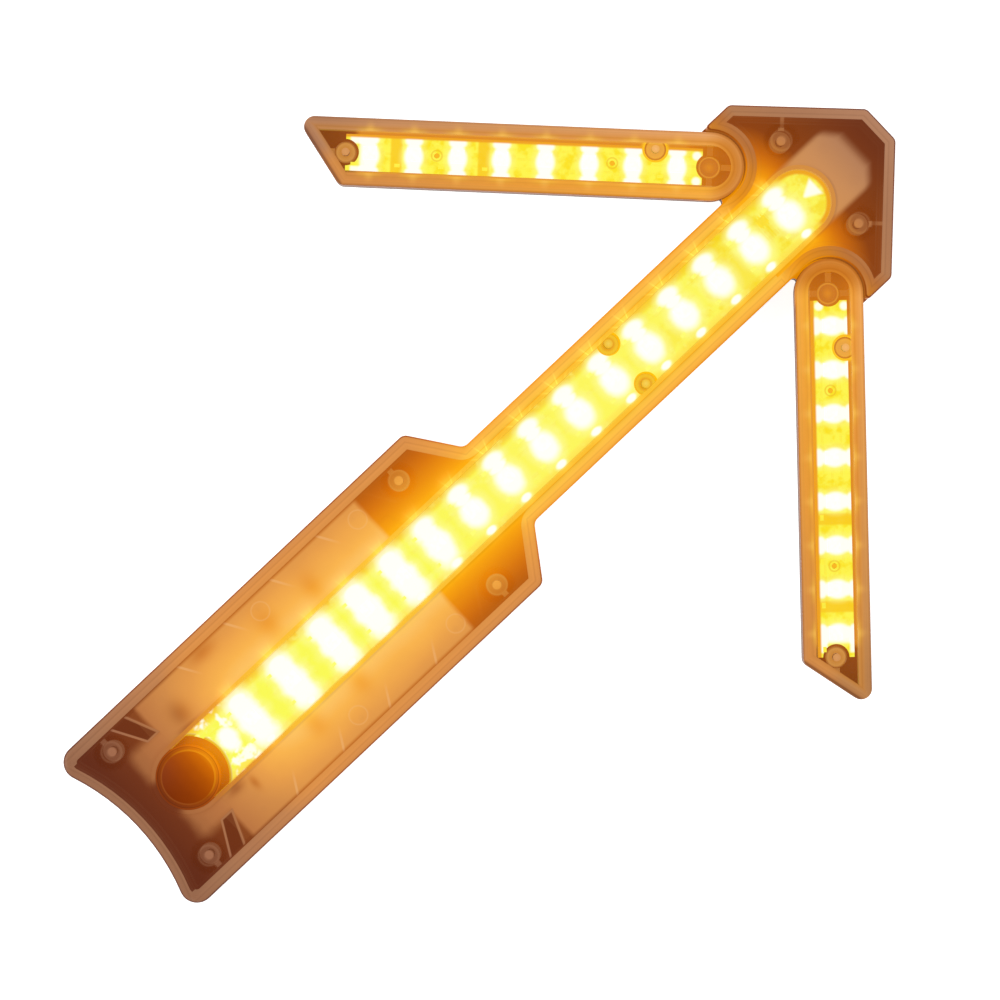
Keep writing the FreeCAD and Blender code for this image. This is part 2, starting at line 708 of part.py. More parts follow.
def make_main_leds():
    z = BOARD_Z + BOARD_THICK
    return Part.makeCompound([led_package(x, 0, z) for x in led_places()])


def make_main_resistors():
    z = BOARD_Z + BOARD_THICK
    dx, dy = RESISTOR_OFFSET
    return Part.makeCompound([chip(x + dx, side * dy, z, *RESISTOR)
                              for x in led_places() for side in (1, -1)])


def make_controller_chip():
    """Six-legged driver chip on the board, by the head."""
    x, y = CONTROLLER
    z = BOARD_Z + BOARD_THICK
    body = chip(x, y, z + CONTROLLER_LIFT, *CONTROLLER_SIZE)
    legs = [chip(x + CONTROLLER_LEG_PITCH * step, y + side * CONTROLLER_LEG_Y, z, *CONTROLLER_LEG)
            for step in (-1, 0, 1) for side in (1, -1)]
    return join(body, legs)


def make_board_connectors():
    """Lead sockets under the board: one for the cells, one for each arm."""
    battery = block(*BATTERY_SOCKET, SOCKET_Z, BOARD_Z)
    arm = block(*ARM_SOCKET, SOCKET_Z, BOARD_Z)
    return Part.makeCompound([battery, arm, mirror_y(arm)])


def cross_slot(head, x, y, reach, width, z0, z1):
    """Cuts a cross-shaped driver slot into a screw's head."""
    half = width / 2
    head = head.cut(block(x - reach, x + reach, y - half, y + half, z0, z1))
    return head.cut(block(x - half, x + half, y - reach, y + reach, z0, z1))


def pan_screw(x, y, head_z, seat_z, end_z, head_r, shank_r):
    """Screw driven from behind: a pan head with a cross slot, then its shank."""
    head = disc(x, y, head_r, head_z, seat_z)
    depth = (seat_z - head_z) * SLOT_SHARE
    head = cross_slot(head, x, y, head_r * SLOT_REACH, SLOT_WIDTH, head_z, head_z + depth)
    return join(head, [disc(x, y, shank_r, seat_z, end_z)])


def make_board_screws():
    top = BOARD_Z + BOARD_THICK
    head_r, height = BOARD_SCREW_HEAD
    screws = []
    for x, y in both_sides((BOARD_SCREW,)):
        head = disc(x, y, head_r, top, top + height)
        head = cross_slot(head, x, y, head_r * SLOT_REACH, SLOT_WIDTH, top + height / 2, top + height)
        screws.append(join(head, [disc(x, y, BOARD_SCREW_R, BOARD_SCREW_Z, top)]))
    return Part.makeCompound(screws)


def make_shell_screws():
    places = both_sides((TAIL_BOSS, SHOULDER_BOSS, HEAD_BOSS, WINDOW_BOSS))
    return Part.makeCompound([pan_screw(x, y, SHELL_SCREW_HEAD_Z, SHELL_SCREW_SEAT, SHELL_SCREW_END,
                                        SCREW_HEAD_R, SHANK_R) for x, y in places])


# ---------------------------------------------------------------- button

def make_switch_board():
    z0, z1 = BOARD_Z, BOARD_Z + BOARD_THICK
    return disc(BUTTON_X, 0, SWITCH_BOARD_R, z0, z1)


def make_switch_body():
    z0 = BOARD_Z + BOARD_THICK
    body = chip(BUTTON_X, 0, z0, *SWITCH_SIZE)
    return body.cut(disc(BUTTON_X, 0, SWITCH_WELL_R, z0, z0 + SWITCH_SIZE[2]))


def make_switch_plunger():
    return disc(BUTTON_X, 0, PLUNGER_R, PLUNGER_Z, CAP_BASE)


def make_switch_jumper():
    """Flat ribbon that bridges the gap between the switch board and the main board."""
    z0 = BOARD_Z + BOARD_THICK
    x0, x1, y0, y1, thick = JUMPER
    return block(BUTTON_X + x0, BUTTON_X + x1, y0, y1, z0, z0 + thick)


def make_button_bezel():
    flange_z = CEILING_Z - LENS_FLANGE
    inner, outer, depth = BEZEL_GROOVE
    bezel = disc(BUTTON_X, 0, BEZEL_R, flange_z, BEZEL_TOP)
    bezel = join(bezel, [disc(BUTTON_X, 0, BEZEL_FLANGE_R, flange_z, CEILING_Z - BEZEL_SEAL)])
    bezel = bezel.cut(disc(BUTTON_X, 0, BEZEL_HOLE, flange_z, BEZEL_TOP))
    bezel = bezel.cut(disc(BUTTON_X, 0, BEZEL_WELL_R, flange_z, BEZEL_WELL_TOP))
    return bezel.cut(ring(BUTTON_X, 0, inner, outer, BEZEL_TOP - depth, BEZEL_TOP))


def make_bezel_gasket():
    """Seal round the button's ring, open where the window lens takes over."""
    z0 = CEILING_Z - BEZEL_SEAL
    seal = ring(BUTTON_X, 0, BEZEL_R + BEZEL_SEAL_CLEAR, BEZEL_FLANGE_R, z0, CEILING_Z)
    half = WINDOW_HALF + LENS_FLANGE_OUT + BEZEL_SEAL_GAP
    return seal.cut(block(BUTTON_X, BUTTON_X + 2 * BEZEL_FLANGE_R, -half, half, z0, CEILING_Z))


def make_button_cap():
    """Round cap with a domed top, a retaining flange and a stem over the switch."""
    cap = disc(BUTTON_X, 0, CAP_R, CAP_BASE, CAP_TOP)
    cap = cap.common(Part.makeSphere(CAP_DOME_R, V(BUTTON_X, 0, CAP_TOP - CAP_DOME_R)))
    rim = [e for e in cap.Edges if e.BoundBox.ZMin > BEZEL_TOP - CAP_EDGE and e.BoundBox.XLength > CAP_R]
    cap = cap.makeFillet(CAP_EDGE, rim)
    cap = join(cap, [disc(BUTTON_X, 0, CAP_FLANGE_R, CAP_BASE, CAP_FLANGE_TOP)])
    cap = cap.cut(disc(BUTTON_X, 0, CAP_HOLLOW_R, CAP_BASE, CAP_HOLLOW_TOP))
    return join(cap, [disc(BUTTON_X, 0, CAP_STEM_R, CAP_BASE, CAP_HOLLOW_TOP + CAP_WELD)])


# ---------------------------------------------------------------- battery bay

def cell_rows():
    """Y of each row of cells and the direction that its positive ends point."""
    return [((row - 1.5) * CELL_PITCH, 1 if row % 2 else -1) for row in range(4)]


def make_battery_tray():
    """Open-backed tray: a top plate with side walls and low ridges between the cells."""
    plate_z = TRAY_TOP_Z - TRAY_PLATE
    x0 = BAY_X - CHAMBER_LENGTH / 2
    x1 = BAY_X + CHAMBER_LENGTH / 2
    foot_z = LEDGE_TOP + TRAY_LIFT
    tray = block(x0 - TRAY_WALL, x1 + TRAY_WALL, -CHAMBER_HALF - TRAY_WALL, CHAMBER_HALF + TRAY_WALL,
                 foot_z, TRAY_TOP_Z)
    tray = tray.cut(block(x0, x1, -CHAMBER_HALF, CHAMBER_HALF, foot_z, plate_z))
    tail_reach, tail_half = TRAY_TAIL_WING
    head_reach, head_half = TRAY_HEAD_WING
    wings = [block(x0 - tail_reach, x0, -tail_half, tail_half, plate_z, TRAY_TOP_Z),
             block(x1, x1 + head_reach, -head_half, head_half, plate_z, TRAY_TOP_Z)]
    half_ridge = TRAY_RIDGE_THICK / 2
    ridges = [block(x0 + TRAY_PLATE, x1 - TRAY_PLATE, y - half_ridge, y + half_ridge, TRAY_RIDGE_Z, plate_z)
              for y in (-CELL_PITCH, 0, CELL_PITCH)]
    pads = [block(x - TRAY_PAD, x + TRAY_PAD, y - TRAY_PAD, y + TRAY_PAD, plate_z, BOARD_Z)
            for x, y in both_sides([(x, TRAY_PAD_Y) for x in TRAY_PAD_X])]
    tray = join(tray, wings + ridges + pads)
    for x, y in both_sides([(x, TRAY_SCREW_Y) for x in TRAY_SCREW_X]):
        tray = tray.cut(disc(x, y, TRAY_HOLE_R, plate_z, TRAY_TOP_Z))
    half_x, half_y = TRAY_WINDOW
    for y, _ in cell_rows():
        for x in (BAY_X - TRAY_WINDOW_X, BAY_X + TRAY_WINDOW_X):
            tray = tray.cut(block(x - half_x, x + half_x, y - half_y, y + half_y, plate_z, TRAY_TOP_Z))
    return tray


def make_tray_screws():
    places = both_sides([(x, TRAY_SCREW_Y) for x in TRAY_SCREW_X])
    head_z, end_z, head_r, shank_r = TRAY_SCREW
    return Part.makeCompound([pan_screw(x, y, head_z, TRAY_TOP_Z - TRAY_PLATE, end_z, head_r, shank_r)
                              for x, y in places])


def cell(x, y, direction):
    """One round cell whose positive cap points along +X or -X."""
    axis = V(direction, 0, 0)
    body = Part.makeCylinder(CELL_R, CELL_LENGTH - CELL_CAP_SHOWS, V(x, y, CELL_Z), axis)
    body = body.makeFillet(CELL_EDGE, [e for e in body.Edges if e.Curve.TypeId == "Part::GeomCircle"])
    cap_start = V(x + direction * (CELL_LENGTH - CELL_CAP), y, CELL_Z)
    return join(body, [Part.makeCylinder(CELL_CAP_R, CELL_CAP, cap_start, axis)])


def make_battery_cells():
    cells = []
    for y, direction in cell_rows():
        first = BAY_X - direction * (CHAMBER_LENGTH / 2 - CELL_END_SPACE)
        cells.append(cell(first, y, direction))
        cells.append(cell(first + direction * (CELL_LENGTH + CELL_GAP), y, direction))
    return Part.makeCompound(cells)


def coil(x, y, direction):
    """Tapered contact spring: wire rings, each smaller than the last, on two side bars."""
    rings = []
    for step, radius in enumerate(SPRING_RADII):
        centre = V(x + direction * (SPRING_START + SPRING_PITCH * step), y, CELL_Z)
        rings.append(Part.makeTorus(radius, SPRING_WIRE_R, centre, V(direction, 0, 0)))
    reach = SPRING_START + SPRING_PITCH * (len(SPRING_RADII) - 1)
    bars = []
    for side in (1, -1):
        start = V(x + direction * SPRING_START, y, CELL_Z + side * SPRING_RADII[0])
        end = V(x + direction * reach, y, CELL_Z + side * SPRING_RADII[-1])
        bars.append(Part.makeCylinder(SPRING_BAR_R, (end - start).Length, start, end - start))
    return rings[0].fuse(rings[1:] + bars)


def make_contact_springs():
    springs = []
    for y, direction in cell_rows():
        wall = BAY_X - direction * (CHAMBER_LENGTH / 2 - CONTACT_THICK - CONTACT_GAP)
        springs.append(coil(wall, y, direction))
    return Part.makeCompound(springs)


def make_contact_plates():
    """Thin plates on both end walls of the tray that link the rows in turn."""
    plates = []
    half = CONTACT_HALF
    for end in (1, -1):
        wall = BAY_X + end * CHAMBER_LENGTH / 2
        x0, x1 = sorted((wall, wall - end * CONTACT_THICK))
        rows = [y for y, _ in cell_rows()]
        groups = ((rows[0], rows[1]), (rows[2], rows[3])) if end > 0 else (
            (rows[0], rows[0]), (rows[1], rows[2]), (rows[3], rows[3]))
        for low, high in groups:
            plates.append(block(x0, x1, low - half, high + half, CELL_Z - half, CELL_Z + half))
    return Part.makeCompound(plates)


def make_battery_leads():
    """Two insulated leads from the tray's end wall to the socket under the board."""
    wall = BAY_X + CHAMBER_LENGTH / 2 + TRAY_WALL
    socket = BATTERY_SOCKET[0]
    lead = tube([(wall, 20.0, 12.0), (wall + 6.0, 20.0, 12.0), (wall + 9.0, 10.0, 13.0),
                 (socket - 3.5, 2.0, 17.0), (socket, 2.0, 17.0)], BATTERY_LEAD_R, BATTERY_LEAD_BEND)
    return Part.makeCompound([lead, mirror_y(lead)])


def door_screw_places():
    return [(BAY_X + end * DOOR_SCREW[0], side * DOOR_SCREW[1]) for end in (1, -1) for side in (1, -1)]


def make_battery_door():
    half_x = DOOR_LENGTH / 2 - DOOR_GAP
    half_y = DOOR_HALF - DOOR_GAP
    door = block(BAY_X - half_x, BAY_X + half_x, -half_y, half_y, 0, DOOR_THICK)
    upright = [e for e in door.Edges if abs(e.Vertexes[0].Z - e.Vertexes[-1].Z) > 1]
    door = door.makeFillet(DOOR_CORNER, upright)
    for x, y in door_screw_places():
        door = door.cut(Part.makeCone(DOOR_SINK_R, DOOR_HOLE_R, DOOR_SINK_DEPTH, V(x, y, 0)))
        door = door.cut(disc(x, y, DOOR_HOLE_R, 0, DOOR_THICK))
    width, reach, depth = DOOR_GRIP
    for step in (-1, 0, 1):
        x = BAY_X + DOOR_GRIP_PITCH * step
        door = door.cut(block(x - width / 2, x + width / 2, -reach, reach, 0, depth))
    return door


def make_door_gasket():
    half_x, half_y = DOOR_SEAL
    hole_x, hole_y = DOOR_SEAL_HOLE
    outer = block(BAY_X - half_x, BAY_X + half_x, -half_y, half_y, DOOR_THICK, LEDGE_Z)
    return outer.cut(block(BAY_X - hole_x, BAY_X + hole_x, -hole_y, hole_y, DOOR_THICK, LEDGE_Z))


def make_door_screws():
    screws = []
    for x, y in door_screw_places():
        head = Part.makeCone(DOOR_SCREW_HEAD_R, DOOR_SCREW_R, DOOR_SINK_DEPTH, V(x, y, DOOR_SCREW_SINK))
        head = cross_slot(head, x, y, DOOR_SCREW_HEAD_R * SLOT_REACH, SLOT_WIDTH, 0, DOOR_SINK_DEPTH / 2)
        neck_z = DOOR_SCREW_SINK + DOOR_SINK_DEPTH
        screws.append(join(head, [disc(x, y, DOOR_SCREW_R, neck_z, DOOR_SCREW_END)]))
    return Part.makeCompound(screws)


# ---------------------------------------------------------------- pivot leads and caps

def make_arm_lead(side):
    """Two-core lead: down from its socket, through the channel and up the pivot axis."""
    angle = math.radians(LEAD_ANGLE)
    bend_x = LEAD_REACH * math.cos(angle)
    bend_y = PIVOT_Y - LEAD_REACH * math.sin(angle)
    x, y, z = LEAD_START
    path = [(x, y, z), (x, LEAD_DROP_Y, z), (bend_x, bend_y, LEAD_Z), (0, PIVOT_Y, LEAD_Z),
            (0, PIVOT_Y, LEAD_TOP_Z)]
    return tube([(x, side * y, z) for x, y, z in path], LEAD_R, LEAD_BEND)


def make_pivot_cap(side):
    y = side * PIVOT_Y
    reach, half, depth = CAP_SLOT
    cap = disc(0, y, LUG_CAVITY_R + CAP_MARGIN - CAP_CLEAR, 0, CAP_THICK)
    return cap.cut(block(-reach, reach, y - half, y + half, 0, depth))


# ---------------------------------------------------------------- arms
# An arm is drawn along +X from its pivot, with its long side towards +Y, then turned into place.

def arm_outline():
    """Strip with a round end at the pivot and a slanted cut at the tip."""
    start = V(0, -ARM_HALF, 0)
    end = V(0, ARM_HALF, 0)
    inner = V(ARM_INNER, -ARM_HALF, 0)
    outer = V(ARM_OUTER, ARM_HALF, 0)
    edges = [line(start, inner), line(inner, outer), line(outer, end), arc(end, V(-ARM_HALF, 0, 0), start)]
    corners = [(inner.x, inner.y, ARM_NEAR_CORNER), (outer.x, outer.y, ARM_FAR_CORNER)]
    return round_corners(face_of(edges), corners)


ARM = arm_outline()


def arm_frame():
    """Frosted frame round the arm's window, raised along its inner half."""
    frame = prism(ARM, ARM_PART_Z, ARM_TOP)
    frame = frame.cut(prism(inset(ARM, ARM_SKIN), ARM_PART_Z, ARM_CEILING))
    frame = frame.cut(prism(inset(ARM, ARM_WINDOW_INSET), ARM_CEILING, ARM_TOP))
    lip_z = ARM_TOP - ARM_LIP_STEP
    frame = frame.cut(band(ARM, 0, ARM_LIP_BAND, lip_z, ARM_TOP))
    return round_rim(frame, lip_z, ARM_EDGE_ROUND, ARM)


def arm_lens():
    """Clear window with the hub boss, two screw bosses and their key-shaped ribs."""
    lens = prism(inset(ARM, ARM_SKIN + ARM_CLEAR), ARM_LENS_Z, ARM_CEILING)
    plug = prism(inset(ARM, ARM_WINDOW_INSET + ARM_CLEAR), ARM_CEILING, ARM_TOP - ARM_PLUG_DROP)
    features = [plug, disc(0, 0, SPIGOT_R, ARM_BOSS_Z, ARM_LENS_Z)]
    features += [disc(a, b, BOSS_R, ARM_BOSS_Z, ARM_LENS_Z) for a, b in (ARM_SIDE_BOSS, ARM_TIP_BOSS)]
    features += [key_rib(0, 0, angle, ARM_HUB_KEY, ARM_KEY_Z, ARM_LENS_Z) for angle in (90, 180, 270)]
    features.append(key_rib(*ARM_TIP_BOSS, 0, ARM_TIP_KEY, ARM_KEY_Z, ARM_LENS_Z))
    lens = join(lens, features)
    for a, b in (ARM_SIDE_BOSS, ARM_TIP_BOSS):
        lens = lens.cut(disc(a, b, ARM_PILOT_R, ARM_BOSS_Z, ARM_PILOT_END))
    return lens


def arm_rear_cover():
    """Tray of the arm, with the hollow spigot that turns in the body's lug."""
    cover = prism(ARM, ARM_Z0, ARM_PART_Z)
    cover = cover.fuse(prism(inset(ARM, ARM_WALL_IN), ARM_PART_Z - 1, ARM_WALL_TOP))
    cover = cover.cut(prism(inset(ARM, ARM_WALL_OUT), ARM_FLOOR_Z, ARM_WALL_TOP))
    posts = [disc(a, b, BOSS_R, ARM_Z0, ARM_POST_TOP) for a, b in (ARM_SIDE_BOSS, ARM_TIP_BOSS)]
    posts += [disc(a, 0, ARM_PIN_POST_R, ARM_Z0, ARM_BOARD_Z) for a in ARM_PIN_A]
    posts += [disc(a, 0, ARM_PIN_R, ARM_Z0, ARM_BOARD_Z + ARM_PIN_RISE) for a in ARM_PIN_A]
    posts.append(disc(0, 0, SPIGOT_R, SPIGOT_END, ARM_FLOOR_Z))
    cover = join(cover, posts)
    cover = cover.cut(disc(*ARM_SIDE_BOSS, BOSS_R + ARM_BOSS_CLEAR, ARM_POST_TOP, ARM_WALL_TOP))
    cover = cover.cut(disc(0, 0, SPIGOT_BORE, SPIGOT_END, ARM_FLOOR_Z))
    cover = cover.cut(ring(0, 0, RING_GROOVE_R, SPIGOT_R + 1, RING_Z, RING_Z + RING_THICK))
    head_r, _, seat_z = ARM_SCREW_HEAD
    for a, b in (ARM_SIDE_BOSS, ARM_TIP_BOSS):
        cover = cover.cut(disc(a, b, head_r + SCREW_HEAD_CLEAR, ARM_Z0, seat_z))
        cover = cover.cut(disc(a, b, ARM_SCREW_HOLE_R, ARM_Z0, ARM_POST_TOP))
    return cover


def arm_board():
    z0, z1 = ARM_BOARD_Z, ARM_BOARD_Z + ARM_BOARD_THICK
    board = block(ARM_BOARD_START, ARM_TIP_BOSS[0], -ARM_BOARD_HALF, ARM_BOARD_HALF, z0, z1)
    for a, b in ((0.0, 0.0), ARM_SIDE_BOSS, ARM_TIP_BOSS):
        board = board.cut(disc(a, b, ARM_NOTCH_R, z0, z1))
    for a in ARM_PIN_A:
        board = board.cut(disc(a, 0, ARM_PIN_HOLE_R, z0, z1))
    return board


def arm_led_places():
    return [ARM_LED_FIRST + ARM_LED_PITCH * step for step in range(ARM_LED_COUNT)]


def arm_leds():
    z = ARM_BOARD_Z + ARM_BOARD_THICK
    return Part.makeCompound([led_package(a, 0, z) for a in arm_led_places()])


def arm_resistors():
    z = ARM_BOARD_Z + ARM_BOARD_THICK
    da, b = ARM_RESISTOR
    return Part.makeCompound([chip(a + da, b, z, *RESISTOR) for a in arm_led_places()])


def arm_screws():
    head_r, head_z, seat_z = ARM_SCREW_HEAD
    return Part.makeCompound([pan_screw(a, b, head_z, seat_z, ARM_SCREW_END, head_r, ARM_SCREW_R)
                              for a, b in (ARM_SIDE_BOSS, ARM_TIP_BOSS)])


def arm_gasket():
    seal = band(ARM, ARM_WALL_IN + ARM_SEAL_INSET, ARM_WALL_OUT - ARM_SEAL_INSET, ARM_WALL_TOP, ARM_LENS_Z)
    return seal.cut(disc(*ARM_SIDE_BOSS, BOSS_R + ARM_BOSS_CLEAR, ARM_WALL_TOP, ARM_LENS_Z))


def arm_pigtail():
    """Short lead from the top of the pivot's bore to the underside of the arm's board."""
    return tube(PIGTAIL_PATH, PIGTAIL_R, PIGTAIL_BEND)


def friction_washer():
    return ring(0, 0, SPIGOT_R + WASHER_BORE_CLEAR, WASHER_R, PART_Z + WASHER_GAP, ARM_Z0)


def retaining_ring():
    """Snap ring in the spigot's groove, open on one side."""
    top = RING_Z + RING_THICK
    gap = SNAP_RING_CLEAR
    clip = ring(0, 0, RING_GROOVE_R + gap, SNAP_RING_R, RING_Z + gap, top - gap)
    return clip.cut(block(-LUG_CAVITY_R, 0, -SNAP_RING_GAP, SNAP_RING_GAP, RING_Z, top))


def place_arm(shape, side, opening):
    """Turn an arm's piece from its own axes to the opened pose on its side of the body."""
    placed = shape.copy() if side < 0 else mirror_y(shape)
    placed.rotate(V(0, 0, 0), V(0, 0, 1), 180 - side * opening)
    placed.translate(V(0, side * PIVOT_Y, 0))
    return placed


ARM_PIECES = {
    "arm_frame": arm_frame,
    "arm_lens": arm_lens,
    "arm_rear_cover": arm_rear_cover,
    "arm_board": arm_board,
    "arm_leds": arm_leds,
    "arm_resistors": arm_resistors,
    "arm_screws": arm_screws,
    "arm_gasket": arm_gasket,
    "arm_pigtail": arm_pigtail,
    "friction_washer": friction_washer,
    "retaining_ring": retaining_ring,
}

BODY_PIECES = {
    "front_shell": make_front_shell,
    "rear_shell": make_rear_shell,
    "shell_gasket": make_shell_gasket,
    "window_lens": make_window_lens,
    "main_board": make_main_board,
    "main_leds": make_main_leds,
    "main_resistors": make_main_resistors,
    "controller_chip": make_controller_chip,
    "board_connectors": make_board_connectors,
    "board_screws": make_board_screws,
    "shell_screws": make_shell_screws,
    "switch_board": make_switch_board,
    "switch_body": make_switch_body,
    "switch_jumper": make_switch_jumper,
    "switch_plunger": make_switch_plunger,
    "button_bezel": make_button_bezel,
    "bezel_gasket": make_bezel_gasket,
    "button_cap": make_button_cap,
    "battery_tray": make_battery_tray,
    "tray_screws": make_tray_screws,
    "battery_cells": make_battery_cells,
    "contact_springs": make_contact_springs,
    "contact_plates": make_contact_plates,
    "battery_leads": make_battery_leads,
    "battery_door": make_battery_door,
    "door_gasket": make_door_gasket,
    "door_screws": make_door_screws,
}

os.makedirs("parts", exist_ok=True)
for node, build in BODY_PIECES.items():
    save(node, build())
for name, side, opening in (("left", 1, LEFT_OPEN), ("right", -1, RIGHT_OPEN)):
    save(name + "_arm_lead", make_arm_lead(side))
    save(name + "_pivot_cap", make_pivot_cap(side))
    for node, build in ARM_PIECES.items():
        save(name + "_" + node, place_arm(build(), side, opening))
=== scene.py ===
import json
import math
from functools import reduce

import bpy
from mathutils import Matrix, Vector


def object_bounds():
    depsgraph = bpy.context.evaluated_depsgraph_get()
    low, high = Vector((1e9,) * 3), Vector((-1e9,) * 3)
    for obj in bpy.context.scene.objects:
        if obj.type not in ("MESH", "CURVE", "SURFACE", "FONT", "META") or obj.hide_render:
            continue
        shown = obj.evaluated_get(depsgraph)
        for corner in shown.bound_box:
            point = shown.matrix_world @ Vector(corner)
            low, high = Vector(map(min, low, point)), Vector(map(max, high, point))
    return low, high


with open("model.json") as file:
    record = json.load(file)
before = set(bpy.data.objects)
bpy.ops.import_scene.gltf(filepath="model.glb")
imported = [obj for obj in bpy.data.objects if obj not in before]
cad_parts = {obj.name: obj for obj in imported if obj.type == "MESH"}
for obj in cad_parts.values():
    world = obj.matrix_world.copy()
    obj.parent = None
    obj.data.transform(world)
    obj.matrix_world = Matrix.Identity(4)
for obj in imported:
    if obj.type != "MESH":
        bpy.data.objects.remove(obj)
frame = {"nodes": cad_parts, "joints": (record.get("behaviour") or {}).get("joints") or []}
cad_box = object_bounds()

NODES = frame["nodes"]
JOINTS = {j["name"]: j for j in frame["joints"]}
MM = 1000.0

# Camera: straight down on the front face, turned so that the shaft runs up to the right. In metres,
# except for the lens and its sensor.
CAMERA_TURN = -43.3
CAMERA_AIM = (-0.1401, -0.0044, 0.026)
FRAME_WIDTH = 0.3668
LENS_MM = 200.0
SENSOR_MM = 36.0
CLIP_END = 20.0

# Studio, in metres and watts.
FLOOR_HALF = 6.0
FLOOR_GAP = 0.0002
FLOOR_GLOW = 0.85
LIGHT_AIM = (-0.12, 0.0, 0.02)
LIGHTS = (("key", (-0.9, 0.9, 1.5), 0.9, 19.0), ("fill", (1.2, -0.6, 1.3), 1.2, 8.0))
WORLD_STRENGTH = 0.45

# Landmarks in millimetres, in the frame's axes: +X along the shaft to the tip, +Y the left arm's side.
TIP_X = 56.2
HEAD_HALF = 43.5
HEAD_FROM_X = -12.0
TIP_DIAGONAL = 63.95
SHAFT_HALF = 18.8
SHAFT_FROM_X = -160.0
SHAFT_TO_X = 10.0
HOUSING_HALF = 37.5
SHOULDER_X = -136.4
SHOULDER_NORMAL = (0.817, 0.577)
TAIL_CENTRE_X = -403.6
TAIL_RADIUS = 84.6
PIVOT_Y = 31.9
POCKET_R = 13.1
BUTTON_X = -293.0
WINDOW_HALF = 12.05
WINDOW_END_X = 14.6
BEAD_EDGE = (1.5, 1.62)
STRIP_TAIL_X = -240.0
STRIP_END_FALL = 1.7
STRIP_TAIL_FALL = 0.0155
LIT_MIDDLE_Y = -0.7
LED_FIRST_X = 9.0
LED_PITCH = 17.66
LED_LAST = 13
LED_TAIL_PITCH = 20.35
SIDE_RIB_X = -268.0
SIDE_RIB_PITCH = 23.3
SIDE_RIB_SLANT = 0.59
TAIL_RIB_FEET = (-294.9, -289.2)
TAIL_RIB_SLANTS = (0.563, 0.429)
TAIL_RIB_FOOT_Y = 19.4
TRAY_HALF = 32.0
SHELL_BOSSES = ((-307.3, 26.0), (-162.3, 26.3), (25.5, 20.8))
FAINT_RINGS_X = (-232.0, -183.0)
FAINT_RING_Y = 26.2
WINDOW_BOSS = (-71.7, 10.1)
ARM_LED_FIRST = 12.0
ARM_LED_PITCH = 16.15
ARM_LED_LAST = 7
ARM_SIDE_BOSS = (20.1, 5.8)
ARM_TIP_BOSS = (134.0, 0.0)
ARM_TIP_SLANT = 0.69
ARM_TIP_NORMAL = 0.823
ARM_PINS = (35.8, 100.4)
ARM_BANDS = ((81.0, 85.2), (113.2, 117.4))
LIT_MIDDLE_ACROSS = {"left": -0.8, "right": 1.0}
SIDES = {"left": 1, "right": -1}
HALF_ROOT = 0.7071

# Heights in millimetres. Each pair is where the colour changes from one face to the next, or a band that
# holds one level face.
REAR_FLOOR_Z = (1.2, 2.0)
REAR_RIM_Z = (10.7, 10.95)
BOSS_FEET_Z = (16.8, 17.2)
RIB_FEET_Z = (21.3, 24.2)
UNDERSIDE_Z = (24.5, 24.3)
CEILING_Z = (24.45, 24.75)
WALL_TOP_Z = (25.2, 26.3)
PANEL_Z = (26.2, 26.4)
RAISED_Z = (26.58, 26.7)
LENS_UNDER_Z = (22.5, 22.2)
LENS_TOP_Z = (26.9, 27.05)
ARM_FLOOR_Z = (12.2, 12.8)
ARM_COVER_RIM_Z = (17.2, 17.6)
ARM_POST_Z = (17.7, 18.0)
ARM_KEY_Z = (19.0, 19.4)
ARM_LENS_UNDER_Z = (21.7, 21.4)
ARM_LENS_TOP_Z = (24.6, 24.8)
ARM_WALL_TOP_Z = (23.4, 24.5)


def shade(red, green, blue):
    """Linear colour of a display colour given in steps from 0 to 255."""
    values = (v / 255.0 for v in (red, green, blue))
    return tuple(v / 12.92 if v < 0.04 else ((v + 0.055) / 1.055) ** 2.4 for v in values)


class Num:
    """A number that varies over a surface, with ordinary arithmetic."""

    def __init__(self, paint, socket):
        self.paint = paint
        self.socket = socket

    def __add__(self, other):
        return self.paint.math("ADD", self, other)

    __radd__ = __add__

    def __sub__(self, other):
        return self.paint.math("SUBTRACT", self, other)

    def __rsub__(self, other):
        return self.paint.math("SUBTRACT", other, self)

    def __mul__(self, other):
        return self.paint.math("MULTIPLY", self, other)

    __rmul__ = __mul__

    def __truediv__(self, other):
        return self.paint.math("DIVIDE", self, other)

    def __pow__(self, other):
        return self.paint.math("POWER", self, other)

    def __abs__(self):
        return self.paint.math("ABSOLUTE", self)


